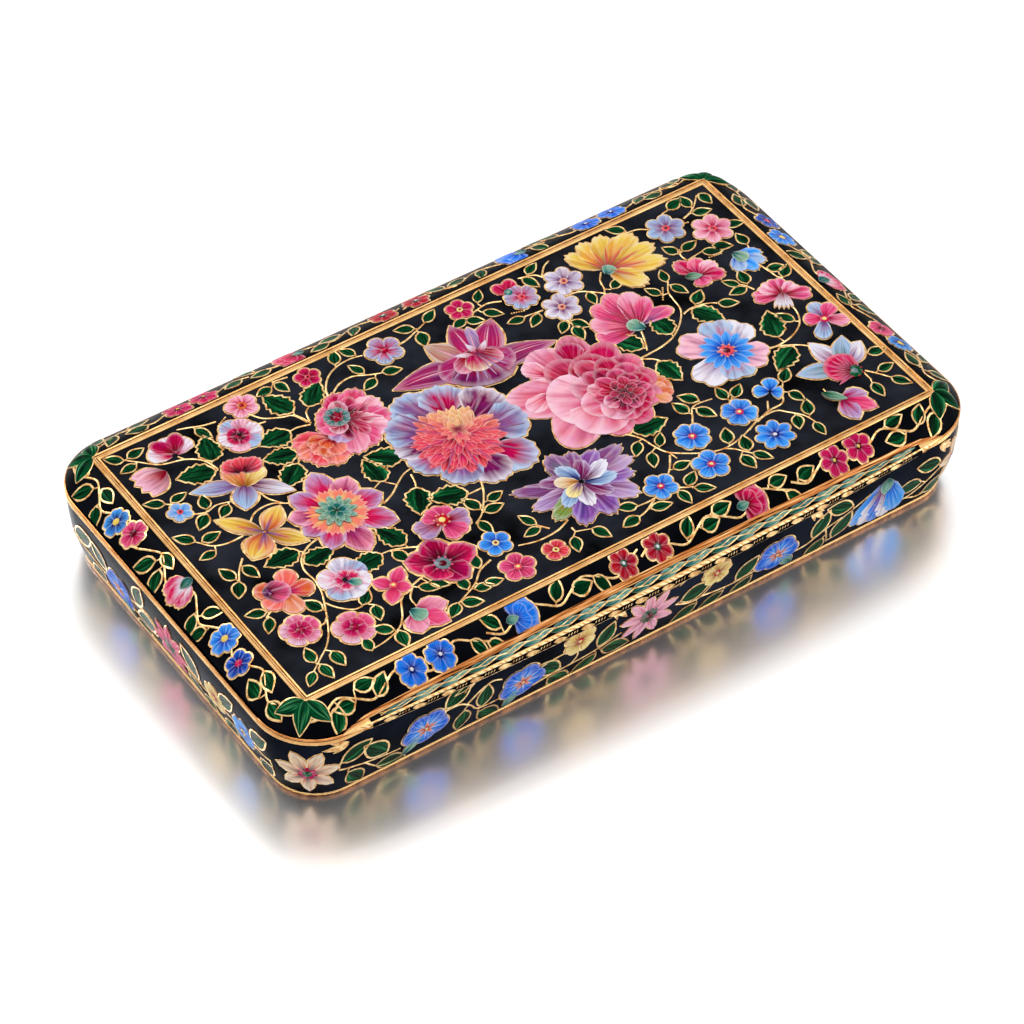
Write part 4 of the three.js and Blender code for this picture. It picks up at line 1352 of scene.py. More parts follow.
# %% Small flowers of the panel
# x, y, radius, petals, kind, root, tip, then the eye's colour and dot, and the turn
PANEL_ROSETTES = [
    (-37.2, 9, 1.4, 5, "round", "sky", "pale_blue", "coral", "maroon", 20),
    (-14.8, 19, 1.5, 5, "round", "crimson", "rose", "coral", "maroon", 10),
    (-5.5, 17.9, 2.2, 5, "round", "rose", "pale_blue", "crimson", "rose", 25),
    (-12, -13.6, 1.8, 5, "round", "blue", "sky", "straw", "crimson", 18),
    (-12, -17.8, 2, 5, "round", "magenta", "pink", "coral", "straw", 0),
    (-7.3, -18, 1.4, 4, "round", "red", "coral", "straw", "crimson", 45),
    (5.1, 18.7, 1.6, 5, "round", "magenta", "rose", "straw", "crimson", 0),
    (12, 16.6, 2.1, 5, "heart", "rose", "pale_blue", "coral", "crimson", 20),
    (17.4, 16.1, 2.3, 6, "round", "mauve", "white", "peach", "crimson", 0),
    (14.8, 12.7, 2.2, 6, "round", "mauve", "white", "peach", "crimson", 10),
    (32.1, 16.9, 2.3, 6, "round", "mauve", "pale_blue", "coral", "maroon", 0),
    (36.5, 13.9, 2.4, 6, "round", "rose", "blush", "coral", "crimson", 0),
    (14.7, -12.2, 2.1, 4, "heart", "blue", "sky", "rose", "straw", 20),
    (21.2, -12, 2.1, 4, "heart", "blue", "sky", "rose", "straw", 50),
    (13.9, -16.8, 2.1, 5, "round", "blue", "sky", "rose", "straw", 0),
    (7.4, -16.5, 1.9, 5, "round", "blue", "sky", "rose", "straw", 30),
    (22.3, -17, 2.2, 7, "round", "blue", "sky", "navy", "white", 12),
]


def rosette(ground, x, y, radius, petals, kind, root, tip, colour, middle, turn=0, squash=1):
    """A ring of like petals round an eye."""
    side = (turn * 3, between(root, "maroon", 0.25), between(tip, root, 0.35))
    ring(ground, x, y, radius, petals, kind, root, tip, turn, 0, 0, squash, True, 1.12, side)
    eye(ground, x, y, max(radius * 0.24, 0.4), colour, middle)


def double(ground, x, y, radius, root, tip, colour):
    """A small full flower: two rings of round petals and a dark heart."""
    side = (200, root, between(tip, "white", 0.6))
    ring(ground, x, y, radius, 5, "round", root, tip, 10, radius * 0.8, 0, 1, True, 1.1, side)
    ring(ground, x, y, radius * 0.62, 4, "cup", late(root), tip, 40, radius * 0.5, 0.025, 1, False, 1.25)
    eye(ground, x, y, radius * 0.22, colour, root, None, 0.1)


panel = (new_sheet(), new_sheet())
for row in PANEL_ROSETTES:
    rosette(panel, *row)
for x, y, radius in ((-35.8, -12.7, 2.2), (-31, -15.5, 2.3)):
    double(panel, x, y, radius, "magenta", "pink", "crimson")
print("rosettes on the panel:", len(PANEL_ROSETTES))

# %% [markdown]
# The large blooms are each drawn one by one: every petal runs from its root to its own tip, with a
# width, two colours and a bend. They go down in the order that a painter would fire them, the
# outer petals first and each inner one a little higher.
# A full rose is broad pale cups on one side, and small dark petals that close in on its heart.
# A peony is a skirt of broad petals under a dome of small pointed ones, laid as scales are.

# %% Petals that run to their own tips
sway = random.Random(5)
BLOOM_SHINGLE = 0.006


def petal_to(kind, start, end, half, root, tip, bend=0, rise=0, backed=True):
    """A petal on the panel, from one point to another. half is half its width."""
    run = Vector(end) - Vector(start)
    length = run.length / math.hypot(1, bend)
    heading = math.atan2(run.y, run.x) + math.atan(bend)
    width = half / (REACH[kind] * length)
    petal(
        panel, kind, start[0], start[1], math.degrees(heading), length, width, root, tip, bend, rise,
        backed)


def bloom(kind, start, half, tints, tips, rise=0, backed=True, bend=0, inner=0):
    """Petals from one point to each tip in turn. A tip may bring its own half width.

    tints are (root, tip) pairs of colours, used in turn. inner is the share of the way to the tip
    at which a petal starts, where something else covers the middle.
    """
    for order, (x, y, *own) in enumerate(tips):
        root, tip = tints[order % len(tints)]
        begin = Vector(start).lerp(Vector((x, y)), inner)
        wide = own[0] if own else half
        petal_to(kind, begin, (x, y), wide, root, tip, bend, rise + BLOOM_SHINGLE * order, backed)


def strokes(start, half, root, tip, tips, rise=0.05):
    """Thin darker or lighter brush strokes on petals that are down already."""
    bloom("lance", start, half, [(root, tip)], tips, rise, False)


def spray(ground, kind, x, y, low, high, count, length, width, root, tip, bend=0, rise=0,
          backed=True):
    """Petals that open from one point between two headings, as in a tulip or a bell."""
    middle = (count - 1) / 2
    for index in range(count):
        heading = low + (high - low) * index / max(count - 1, 1)
        side = (index - middle) / max(middle, 1)
        lift = rise + 2 * SHINGLE * (middle - abs(index - middle))
        petal(ground, kind, x, y, heading, length, width, root, tip, bend * side, lift, backed)


print("each petal of a bloom lies", BLOOM_SHINGLE, "mm above the one before")

# %% The full rose
ROSE_HEART = (12.5, -2.6)
STALK_ANGLE = 137.5
petal_to("cup", (15, -3.4), (17.2, -4.9), 1.9, "ochre", "orange")
bloom("round", (14.6, -3.8), 0.9, [("ochre", "peach"), ("red", "orange")], [
    (17.1, -3.9), (17.2, -5.4), (16.2, -6.4)], 0.02, False)
bloom("cup", (9.8, -0.6), 2.4, [(late("crimson"), "pink"), (late("magenta"), "rose")], [
    (12.4, 8.5), (15.6, 5.2), (17.1, 1.4), (17.2, -2), (15.9, -5.1), (12.6, -7.6), (9, -7.9)])
bloom("cup", (9.4, 0.2), 3.1, [(late("magenta", 0.15), "pale_pink"), (late("rose", 0.25), "blush")], [
    (7.6, 8.5), (0.7, 3), (2.9, -6.4, 2.9)])
petal_to("round", (6.2, 2), (2.2, 0.9), 1.3, "rose", "blush", 0, 0.03, False)
petal_to("round", (7.4, 4), (5.6, 7.2), 1.3, "rose", "blush", 0, 0.03, False)
petal_to("round", (10.2, 3.6), (11.9, 7.6), 1.7, "crimson", "magenta", 0, 0.03, False)
bloom("cup", (10.4, -1.4), 3.4, [
    (late("crimson"), "pink"), (late("crimson"), "rose"), ("rose", "blush"),
    (late("rose", 0.2), "blush")], [
    (8.2, 6, 2.7), (12.4, 5, 2.7), (4.5, 0.6, 4), (6.4, -6.3, 3.3)], 0.04, False)
bloom("round", ROSE_HEART, 1.7, [(late("crimson", 0.4), "pink"), (late("crimson", 0.4), "rose")], [
    (10.9, 4.4), (13.6, 3.4), (15.6, 1.2), (16.3, -1.6), (15.4, -4.4), (13.2, -6.2),
    (10.6, -6.5)], 0.07, False)
bloom("cup", ROSE_HEART, 2.3, [(late("magenta"), "blush"), (late("rose"), "blush")], [
    (8.2, 1.6), (7.2, -2.4), (9, -5.2, 1.9)], 0.1, False)
bloom("round", ROSE_HEART, 1.3, [(late("crimson", 0.4), "pink"), (late("maroon", 0.4), "rose")], [
    (10.4, 2.4), (12, 2.2), (13.7, 1.2), (14.8, -0.4), (15, -2.6), (14.2, -4.4), (12.4, -5.4),
    (10.6, -5.2)],
    0.12, False)
bloom("cup", ROSE_HEART, 1.2, [(late("magenta"), "blush"), (late("crimson"), "pink")], [
    (9.4, 0.2), (9, -1.6), (9.6, -3.4), (11, 0.8)], 0.15, False)
# The innermost petals turn by the angle that leaves on a stalk do, so no two stand in line
for index in range(18):
    turn = math.radians(STALK_ANGLE * index)
    reach = 3 - 0.145 * index
    root = Vector(ROSE_HEART) + Vector((math.cos(turn), math.sin(turn))) * reach * 0.25
    dark = late(("maroon", "crimson")[index % 2], 0.3)
    pale = between("pink", "crimson", index / 18)
    petal(
        panel, "cup", root.x, root.y, math.degrees(turn), reach * 0.75, 0.62, dark, pale,
        0.2 * (-1) ** index, 0.16 + 0.005 * index, False)
print("faces of the petals so far:", len(panel[1].faces))

# %% The peony
PEONY = (-6.3, 2.2)
bloom("frill", PEONY, 2.7, [
    (late("mauve", 0.25), "pale_blue"), (late("magenta", 0.2), "pale_blue"),
    (late("plum", 0.3), "white")], [
    (-8.7, 10.6), (-4, 9.9), (0.9, 6, 3), (1.7, 0.6, 3), (-1.4, -5.8, 2.6), (-5.8, -6.2, 2.4),
    (-9.8, -4.4, 2.4), (-13, 0.2, 2.4), (-13.4, 3.6, 1.8), (-12.3, 7.2)], 0, True, 0, 0.4)
strokes(PEONY, 0.1, "rose", "mauve", [
    (-8, 9.6), (-4.6, 8.9), (-2.6, 8.2), (-0.2, 6.6), (0.8, 4.6), (1.2, 2.2), (0.8, -0.4), (-1.2, -4.4),
    (-5, -5.2), (-7.4, -4.6), (-10.6, -2.2), (-12.2, 2.4), (-11.2, 6.4), (-10, 8.6)], 0.07)
ring(panel, -6.7, 1.7, 4.7, 9, "cup", "crimson", "rose", 0, 0, 0.03, 1, False, 1.3)
for level, (radius, count, root, tip) in enumerate((
        (5.2, 26, "crimson", "coral"), (4.7, 24, "rose", "coral"), (4.1, 20, "crimson", "coral"),
        (3.4, 17, "magenta", "coral"), (2.7, 14, "crimson", "coral"), (2, 10, "rose", "salmon"),
        (1.2, 6, "crimson", "peach"))):
    for index in range(count):
        turn = 360 * (index + 0.5 * (level % 2)) / count + sway.uniform(-5, 5)
        reach = radius + sway.uniform(-0.35, 0.35)
        high = (1 + math.cos(math.radians(turn - 60))) / 2
        inner = max(reach - 2.2 - high, 0)
        x = PEONY[0] - 0.3 + level * 0.12 + inner * math.cos(math.radians(turn))
        y = PEONY[1] - 0.5 + level * 0.2 + inner * math.sin(math.radians(turn))
        heading = turn + sway.uniform(-12, 12)
        pale = between(tip, "straw", 0.7 * high ** 5)
        bend = sway.uniform(-0.2, 0.2)
        rise = 0.05 + level * 0.02 + SHINGLE * (index % 3)
        petal(panel, "lance", x, y, heading, reach - inner, 1.05, root, pale, bend, rise, False)
print("faces of the petals so far:", len(panel[1].faces))

# %% The lily and the parrot tulip
for x, y, start, half, root, tip, bend in (
        (-8.1, 12, (2.2, 9.6), 1.9, "purple", "wine", -0.32),
        (11.1, 8.6, (1.6, 8.6), 1.8, "purple", "wine", 0.42),
        (-1.4, 16, (1.6, 9.8), 1.8, "magenta", between("straw", "mauve", 0.6), -0.05),
        (4.2, 15.8, (2.4, 10.4), 1.5, "purple", "lilac", 0.05),
        (2.7, 17.1, (2, 10), 1.7, "magenta", "wine", -0.1),
        (7.1, 15.5, (2.6, 9.8), 1.9, "magenta", "wine", 0.06)):
    petal_to("lance", start, (x, y), half, root, tip, bend)
    vein_end = (x * 0.85 + 0.3, y * 0.85 + 1.6)
    petal_to("lance", start, vein_end, 0.1, "wine", "blush", bend, 0.03, False)
bloom("round", (2.6, 12.4), 3, [("magenta", "wine"), ("magenta", "wine"), ("crimson", "plum")], [
    (-2.6, 9.6, 2.2), (4.9, 7.8, 2.4), (1, 6.8, 3.8)], 0.02)
strokes((2.6, 12), 0.13, "plum", "lilac", [
    (-1.8, 9.6), (-0.8, 8.6), (0.3, 7.8), (1.4, 7.5), (2.6, 7.6), (3.6, 7.9), (4.6, 8.3)], 0.06)
bloom("round", (2.6, 12.6), 1.3, [(late("crimson"), "pale_pink"), (late("magenta"), "cream")], [
    (-0.6, 9.9), (1.6, 9, 1.6), (4.6, 9.3, 1.2)], 0.07, False)
strokes((2.8, 11.4), 0.35, "magenta", "white", [(0.4, 12.6), (2.4, 13.6), (4.6, 12.9)], 0.08)
TULIP = (0.7, -11.2)
bloom("frill", TULIP, 1.25, [
    ("purple", "mauve"), ("plum", "lilac"), ("ochre", "lime"), ("navy", "violet"), ("purple", "violet"),
    ("plum", "lilac"), ("purple", "violet"), ("plum", "lilac"), ("purple", "mauve"), ("plum", "violet"),
    ("purple", "mauve"), ("teal", "mauve")], [
    (-6.4, -8.6, 1.1), (-5.8, -11.9, 1.2), (-4.7, -14.4), (-2.5, -16.7, 1.5), (1.2, -17, 1.6),
    (5, -15.9, 1.6),
    (6.3, -13), (7.4, -11.1), (7.4, -8.9), (4.7, -8), (2.2, -6.8), (-0.2, -6, 1.5)], 0, True, 0.1)
bloom("frill", TULIP, 1, [(late("plum"), "lilac"), ("navy", "pale_blue"), ("purple", "white")], [
    (-3.4, -9), (-2.9, -13.4), (-0.4, -14.8), (2.8, -14.4), (4.6, -12.4), (4.8, -10), (2.6, -8.4),
    (-0.4, -8)],
    0.05, False, -0.14)
bloom("round", TULIP, 0.9, [("ochre", "cream"), ("mauve", "straw")], [
    (-1.9, -9.8), (-1.7, -12.5)], 0.1, False)
print("faces of the petals so far:", len(panel[1].faces))

# %% The carnation, the marigold and the narcissus
bloom("frill", (-17.6, 9.6), 1.6, [("red", "coral"), ("crimson", "salmon")], [
    (-21.9, 10.7), (-22.3, 8.7), (-21.2, 6.7), (-19.4, 5.7), (-17.3, 6.2)])
bloom("frill", (-18, 9.4), 1.2, [("red", "orange"), ("crimson", "salmon")], [
    (-20.6, 9.9), (-20.7, 8.3), (-19.8, 7.2), (-18.3, 6.7), (-19.4, 8.6, 0.9)], 0.04, False)
bloom("frill", (-14.8, 10.8), 1.75, [
    ("magenta", "pink"), ("crimson", "rose"), ("crimson", "pink"), ("rose", "blush"), ("magenta", "pink"),
    ("rose", "blush"), ("magenta", "pink"), ("rose", "pale_pink"), ("magenta", "lilac"),
    ("magenta", "pink")], [
    (-17.1, 13.5), (-14, 15.2), (-11.5, 14.5), (-10.3, 11.8), (-10.4, 9), (-11.8, 7.3), (-14.2, 6),
    (-16.6, 5.9), (-17.6, 8.5), (-18.3, 11.4)])
bloom("cup", (-15.4, 11.4), 1.1, [
    (late("crimson"), "pink"), (late("maroon"), "pink"), (late("crimson"), "blush")], [
    (-12.6, 13.7), (-11.8, 11.6), (-12.2, 9.4), (-13.8, 7.8), (-15.8, 7.8), (-17, 9.6),
    (-17.3, 11.7), (-16.4, 13.3),
    (-14.4, 14)], 0.04, False)
strokes((-14.6, 10.8), 0.12, "crimson", "pink", [
    (-11.2, 12.4), (-11, 10.8), (-11.4, 9.2), (-12.6, 8), (-14.2, 7.2), (-15.8, 7)], 0.07)
ring(panel, -15.6, 11.8, 1.5, 7, "round", "teal", "grey", 0, 0.9, 0.09, 1, False, 1.2)
eye(panel, -15.6, 11.8, 0.5, "crimson", None, None, 0.13)
bloom("lance", (-29.2, 8.9), 1.05, [("mauve", "pale_blue"), ("purple", "white")], [
    (-34.8, 10.8), (-25.3, 5), (-31.2, 5.4, 1.35)])
bloom("round", (-29.7, 8.2), 1.2, [("ochre", "peach"), ("orange", "peach"), ("ochre", "straw")], [
    (-29.6, 12), (-27.8, 11.6, 1.5), (-26.4, 10.2)], 0.04)
bloom("frill", (-28.7, 10.2), 1.2, [("maroon", "coral"), ("crimson", "coral")], [
    (-29.4, 12.7), (-27.6, 12.4), (-26, 11.2)], 0.09)
print("faces of the petals so far:", len(panel[1].faces))

# %% Single flowers of the left part
bloom("lance", (-31.3, 1.4), 1.2, [("ochre", "yellow"), ("orange", "yellow")], [
    (-34.8, 5.9, 1.05), (-27.9, 3.9), (-28.1, -2.2, 1.1), (-34.5, -1.3, 1.6)])
strokes((-31.3, 1.4), 0.2, "mauve", "orange", [
    (-33.4, 3.8), (-29.2, 3.2), (-29.5, -0.9), (-33.4, -0.6), (-32.6, -0.9)])
eye(panel, -31.3, 1.4, 0.4, "purple", "ochre")
DISC_FLOWER = (-23.4, -0.3)
bloom("pointed", DISC_FLOWER, 1.6, [
    (late("rose", 0.2), "lilac"), (late("wine", 0.2), "pale_pink"), (late("rose", 0.2), "lilac")], [
    (-22.5, 6.2), (-19.5, 3.5), (-17.8, -0.6), (-18.6, -5.1), (-23.6, -7.2), (-26.9, -4.8, 1.4),
    (-28.2, -1.4, 1.4),
    (-28.3, 1.6, 1.4), (-26.4, 4.5, 1.4)], 0, True, 0, 0.25)
for index in range(36):
    tint = ("straw", "peach") if index % 3 == 1 else ("peach", "salmon")
    petal(panel, "lance", *DISC_FLOWER, 10 * index, 3.4 + 0.2 * (index % 2), 0.8, *tint, 0, 0.04, False)
eye(panel, *DISC_FLOWER, 2.1, "teal", None, "straw", 0.01)
for radius, count, root, tip in (
        (2.3, 11, "green", "mint"), (1.7, 8, "teal", "mint"), (1.1, 5, "green", "teal")):
    rise = 0.3 - 0.04 * radius
    ring(panel, *DISC_FLOWER, radius, count, "cup", root, tip, 50 * radius, 0, rise, 1, False, 1.1)
bloom("round", (-34.2, -7.2), 1.25, [("coral", "salmon"), ("rose", "orange"), ("orange", "peach")], [
    (-32.4, -4.5), (-31.2, -8), (-34.6, -10.5), (-37.1, -8.2), (-36.9, -5.3)])
petal_to("cup", (-36.5, -6), (-33.5, -7.3), 1.6, late("maroon", 0.1), "pink", 0, 0.05, False)
eye(panel, -35.8, -6.3, 0.6, "purple", None, None, 0.09)
bloom("round", (-28.1, -9.2), 1.45, [("mauve", "white"), ("rose", "pale_blue"), ("pink", "white")], [
    (-26.9, -6.2), (-25.3, -8), (-25.8, -10.8), (-28, -12.2), (-30.3, -11.3), (-30.5, -7.6)])
ring(panel, -27.9, -9.4, 1.6, 5, "cup", late("rose"), "white", 20, 1.2, 0.05, 1, False, 1.1)
petal_to("cup", (-28, -9.6), (-26.8, -10.6), 0.6, "teal", "mint", 0, 0.1, False)
bloom("heart", (-14.8, -7.7), 1.5, [("magenta", "pink"), ("crimson", "lilac")], [
    (-13.7, -5.6, 1.2), (-11.8, -8.8), (-14, -10.9), (-18.4, -8), (-16.2, -5.8, 1.2)])
eye(panel, -14.8, -7.6, 0.85, "red", "straw", "peach")
bloom("pointed", (-18.3, -12.8), 1.7, [("maroon", "rose"), ("maroon", "magenta")], [
    (-21.6, -10.5), (-17.7, -9), (-14, -12.8), (-17, -16.3), (-20.4, -14.6)])
eye(panel, -18.3, -13, 1, "grey", "maroon", "pink")
bloom("lance", (-24.3, -12.8), 0.85, [("rose", "pink")], [
    (-22.2, -10.9), (-25.9, -11), (-25.9, -14.9), (-22.9, -14)])
eye(panel, -24.3, -12.7, 0.5, "coral", "straw")
bloom("pointed", (-24.7, -17), 1.3, [("magenta", "pale_pink"), ("rose", "pink")], [
    (-20.9, -17.8), (-22.2, -20.3), (-25.6, -20.1)])
petal_to("round", (-24.9, -16.5), (-24, -18.6), 1, "teal", "mint", 0, 0.06, False)
bloom("round", (-25.7, 15.5), 1.25, [("rose", "pale_blue"), ("crimson", "blush"), ("rose", "white")], [
    (-26.4, 18), (-24.2, 17.4), (-23.2, 15.2), (-24.7, 13.1), (-27.1, 13.2), (-28.2, 15.6)])
ring(panel, -26, 15.3, 1.4, 4, "cup", "maroon", "rose", 20, 1.1, 0.05, 1, False, 1.1)
ring(panel, -23.2, 19.2, 1.9, 5, "round", "rose", "blush", 20, 0, 0, 1, True, 1.15)
eye(panel, -23.2, 19.2, 0.65, "orange", "crimson")
spray(panel, "round", -33.2, 16.6, 140, 40, 3, 3, 0.9, "rose", "white")
spray(panel, "cup", -33, 16.9, 120, 60, 2, 3.1, 0.5, "crimson", "magenta", 0, 0.04)
spray(panel, "lance", -35.2, 15.1, 212, 168, 4, 3.9, 1.3, "crimson", "blush", 0.1)
print("faces of the petals so far:", len(panel[1].faces))

# %% Single flowers of the right part
spray(panel, "cup", 11.3, 17.9, 120, 60, 2, 2.2, 0.6, "crimson", "rose")
eye(panel, 11.2, 18, 0.55, "teal", "mint")
bloom("frill", (22.5, 15), 1.5, [("ochre", "yellow"), ("orange", "yellow")], [
    (20.1, 19.4, 1.3), (22.6, 20.2), (25.2, 20), (28.3, 18.3, 1.8), (29.3, 15.6), (29, 12.8),
    (25, 10.6)])
strokes((22.6, 14.9), 0.15, "red", "orange", [
    (21.2, 17.6), (23, 18.4), (24.6, 18.2), (26.3, 17.2), (27.4, 15.6), (27, 13.6), (24.8, 12.2)])
petal_to("round", (21.9, 14.2), (23.3, 15.2), 0.9, "teal", "mint", 0, 0.08, False)
bloom("round", (20, 5.2), 1.6, [("crimson", "pink"), ("rose", "pale_pink"), ("magenta", "pink")], [
    (15.1, 6.2), (15.8, 8.6), (17.6, 10.8), (20, 11.6), (22.2, 10.6), (23.5, 8.8, 1.1)])
petal_to("round", (20.4, 5.4), (24.9, 5.8), 1.1, "mauve", "pink", 0.16)
strokes((20, 5.2), 0.16, "crimson", "magenta", [
    (16.6, 6.8), (17.4, 8.8), (18.6, 9.8), (20.2, 9.9), (21.6, 9.2), (22.6, 7.8)])
petal_to("round", (20.6, 4.4), (19.2, 6.4), 1, "teal", "mint", 0, 0.08, False)
bloom("heart", (25.8, -3.4), 2.1, [("mauve", "white"), ("rose", "pale_blue"), ("mauve", "blush")], [
    (30.2, -0.3), (27.4, 1.8), (21.7, 0.8), (20.2, -6.4), (24.7, -8.2), (29.4, -6.9)])
ring(panel, 25.8, -3.4, 3.2, 14, "lance", "blue", "sky", 4, 2.6, 0.05, 1, False, 1.2)
eye(panel, 25.8, -3.4, 1, "coral", "maroon", "peach", 0.11)
bloom("lance", (35, -12.6), 1.2, [("mauve", "white"), ("grey", "pale_blue")], [
    (34.1, -7.5), (29.9, -10.9), (39, -10.4, 1.35), (37.8, -8.6)])
petal_to("cup", (35.9, -14.4), (33.6, -10.9), 2.2, "crimson", "rose", 0, 0.03)
spray(panel, "lance", 35.6, -14, 85, 195, 8, 2.9, 0.3, "maroon", "pink", 0, 0.08, False)
eye(panel, 35.5, -13.9, 0.95, "green", "grey", "crimson", 0.13)
bloom("pointed", (31.6, -16.4), 1.15, [("magenta", "lilac"), ("rose", "pink")], [
    (34.6, -17.4), (34.2, -19.8), (31.4, -20.2)])
petal_to("leaf", (30.3, -14.7), (32.2, -17), 0.6, "green", "mint", 0, 0.06)
bloom("round", (37.9, -5.2), 1, [("mauve", "pale_blue"), ("rose", "pink"), ("magenta", "pale_pink")], [
    (38.3, -2.4), (40.1, -3.6), (40.1, -7), (35.8, -7.8), (36, -4.1)])
eye(panel, 37.9, -5.3, 0.6, "rose", "straw")
bloom("heart", (36.4, 0.6), 1.1, [("crimson", "pink"), ("rose", "blush")], [
    (33.2, 2), (35.1, 3.2), (37.3, 3.3), (38.9, 1.2), (39.6, -1)])
spray(panel, "lance", 36.7, 0.9, 215, 260, 5, 2.7, 0.5, "crimson", "white", 0, 0.05)
bloom("frill", (30.5, 8.4), 1.1, [("crimson", "rose"), ("magenta", "pink"), ("rose", "blush")], [
    (29.6, 11.6), (31.9, 10.9), (33.3, 9.3), (33.3, 7.2), (30.4, 6.6)])
petal_to("leaf", (29, 8.9), (30.9, 8.1), 0.6, "green", "mint", 0, 0.08, False)
bloom("frill", (36, 8.9), 0.95, [("blue", "sky"), ("blue", "pale_blue")], [
    (38.7, 7.6), (38.3, 6.2), (36.7, 5.5), (35, 6.2)])
petal_to("round", (35.8, 9.4), (36.8, 7.4), 1, "teal", "mint", 0, 0.07, False)
bloom("round", (25.9, -11.3), 0.9, [("blue", "sky")], [(27.1, -9.6), (24.4, -10.2), (26.9, -12.2)])
for start, end, count in (
        ((-26.9, 18), (-25.6, 18.7), 6), ((-19, 0.1), (-17.2, 0.9), 8), ((24.9, 7.4), (26, 9), 7),
        ((33.9, 16.6), (34.9, 16.4), 6), ((33.4, 10.2), (34.9, 10), 6), ((9.6, 15), (11, 14.6), 6)):
    gold_dots(panel, start, end, count)
lay(panel[0], on_lid, "panel_flower_outlines", "lid", [line_gold])
lay(panel[1], on_lid, "panel_flowers", "lid", [petal_paint])

# %% [markdown]
# The border and the wall are worked as strips, one for each side. A strip is drawn as if its
# side faced the reader, and the wall's sprays may run on round the corners.
# Where two sides are alike on the real box, they share one drawing.

# %% The border's strips
STRIP_START = 0.42
STRIP_MARGIN = 0.1
WAVE_LENGTH = 7
BORDER_SIDES = {
    "front": lambda s, inset: (s, inset - HALF_WIDTH),
    "right": lambda s, inset: (HALF_LENGTH - inset, s),
    "back": lambda s, inset: (-s, HALF_WIDTH - inset),
    "left": lambda s, inset: (inset - HALF_LENGTH, -s),
}


def border_surface(side):
    """The border of one side as a strip: along the side, then in from the edge."""
    plan = BORDER_SIDES[side]
    end = BORDER_WIDTH - STRIP_MARGIN
    return lambda s, inset, rise: on_lid(*plan(s, min(max(inset, STRIP_START), end)), rise)


def wave(low, high, middle, swing):
    """A stem that winds along a strip."""
    count = max(2, round((high - low) / WAVE_LENGTH * 4))
    return smooth_route([
        (low + (high - low) * step / count, middle + swing * math.sin(math.pi / 2 * step))
        for step in range(count + 1)
    ], 4)


# %% Small sprays and the planting of a side


def pair(ground, spots, radius, petals, kind, root, tip, colour, middle=None):
    """Like rosettes side by side."""
    for index, (x, y) in enumerate(spots):
        rosette(ground, x, y, radius, petals, kind, root, tip, colour, middle, 20 * index)


def rosebud(ground, x, y, size, root, tip):
    """A half-open rose: cupped petals round a dark heart, and a green sheath."""
    spray(ground, "cup", x - size * 0.4, y, -45, 45, 3, size * 1.1, 0.8, root, tip)
    spray(ground, "cup", x - size * 0.3, y, 30, -30, 2, size * 0.7, 0.7, root, tip, 0, 0.03, False)
    petal(ground, "leaf", x - size * 0.75, y, 0, size * 0.6, 1.0, "teal", "mint", 0, 0.06, False)


def plant(zone, side, body, strip, routes, thick, thin, leaves, flowers):
    """Grows one side's leaves, paints its flowers and lays both on the side's strip.

    leaves is (places, kind, length, lean), and flowers is the function that paints them.
    """
    wires = [(route, thick, thin) for route in routes]
    greens = new_sheet()
    spots, kind, length, lean = leaves
    grow_leaves(greens, wires, routes, spots, kind, length, random.Random(side), lean)
    ground = (new_sheet(), new_sheet())
    flowers(ground)
    lay(greens, strip, f"{zone}_leaves_{side}", body, [leaf_green, line_gold])
    lay(ground[0], strip, f"{zone}_outlines_{side}", body, [line_gold])
    lay(ground[1], strip, f"{zone}_flowers_{side}", body, [petal_paint])
    lay_stems(wires, strip, f"{zone}_stems_{side}", body)


# %% Sprays of the lid's border
LONG_LEAVES = [
    (-40.2, 2.9), (-38.6, 1.4), (-36.8, 2), (-34.3, 3.2), (-33.6, 1.8), (-21.6, 2.2), (-19.9, 1.4),
    (-18.6, 3), (-10.5, 3.1), (-8.7, 2.2), (-5.9, 2.5), (6, 2.5), (8.4, 2.2), (10, 3.1), (18, 3.1),
    (18.8, 1.6), (21.4, 2.5), (33.3, 3.2), (34.2, 1.6), (36.8, 2.1), (38.6, 1.4), (40.2, 2.9),
]
SHORT_LEAVES = [
    (-20.6, 2.9), (-18.6, 1.3), (-16.3, 2.9), (-15.6, 1.2), (-4.8, 3.2), (-5.6, 1.2), (-3.3, 1.4),
    (3.9, 1.5), (6, 1.2), (5.2, 3.2), (15.5, 3.1), (16, 1.3), (18.7, 1.6), (20.6, 2.9),
]


def long_border(ground):
    """Flowers of the front and back borders."""
    pair(ground, [(-29, 2.4), (-25.4, 2.5)], 1.75, 5, "heart", "blue", "azure", "navy", "white")
    rosebud(ground, -15.3, 2.4, 2.6, "blue", "azure")
    pair(ground, [(-2.2, 2.5), (2.2, 2.5)], 1.6, 6, "round", "crimson", "red", "green", "white")
    rosebud(ground, 14.5, 2.4, 2.6, "crimson", "rose")
    pair(ground, [(25.6, 2.4), (29, 2.6)], 1.65, 6, "round", "magenta", "rose", "maroon", "yellow")


def short_border(ground):
    """Flowers of the two short borders."""
    pair(ground, [(-12.4, 1.9)], 1.5, 5, "heart", "navy", "sky", "yellow")
    pair(ground, [(-9.6, 2.4)], 1.5, 4, "heart", "magenta", "pink", "maroon")
    spray(ground, "frill", 0.1, 3.4, 235, 305, 3, 2.7, 0.62, "white", "rose")
    petal(ground, "leaf", 0.1, 3.8, 270, 1.5, 1.4, "teal", "green", 0, 0.05, False)
    pair(ground, [(8.8, 2.4)], 1.7, 5, "heart", "blue", "sky", "yellow")
    pair(ground, [(12.3, 1.9)], 1.4, 5, "round", "navy", "blue", "rose")


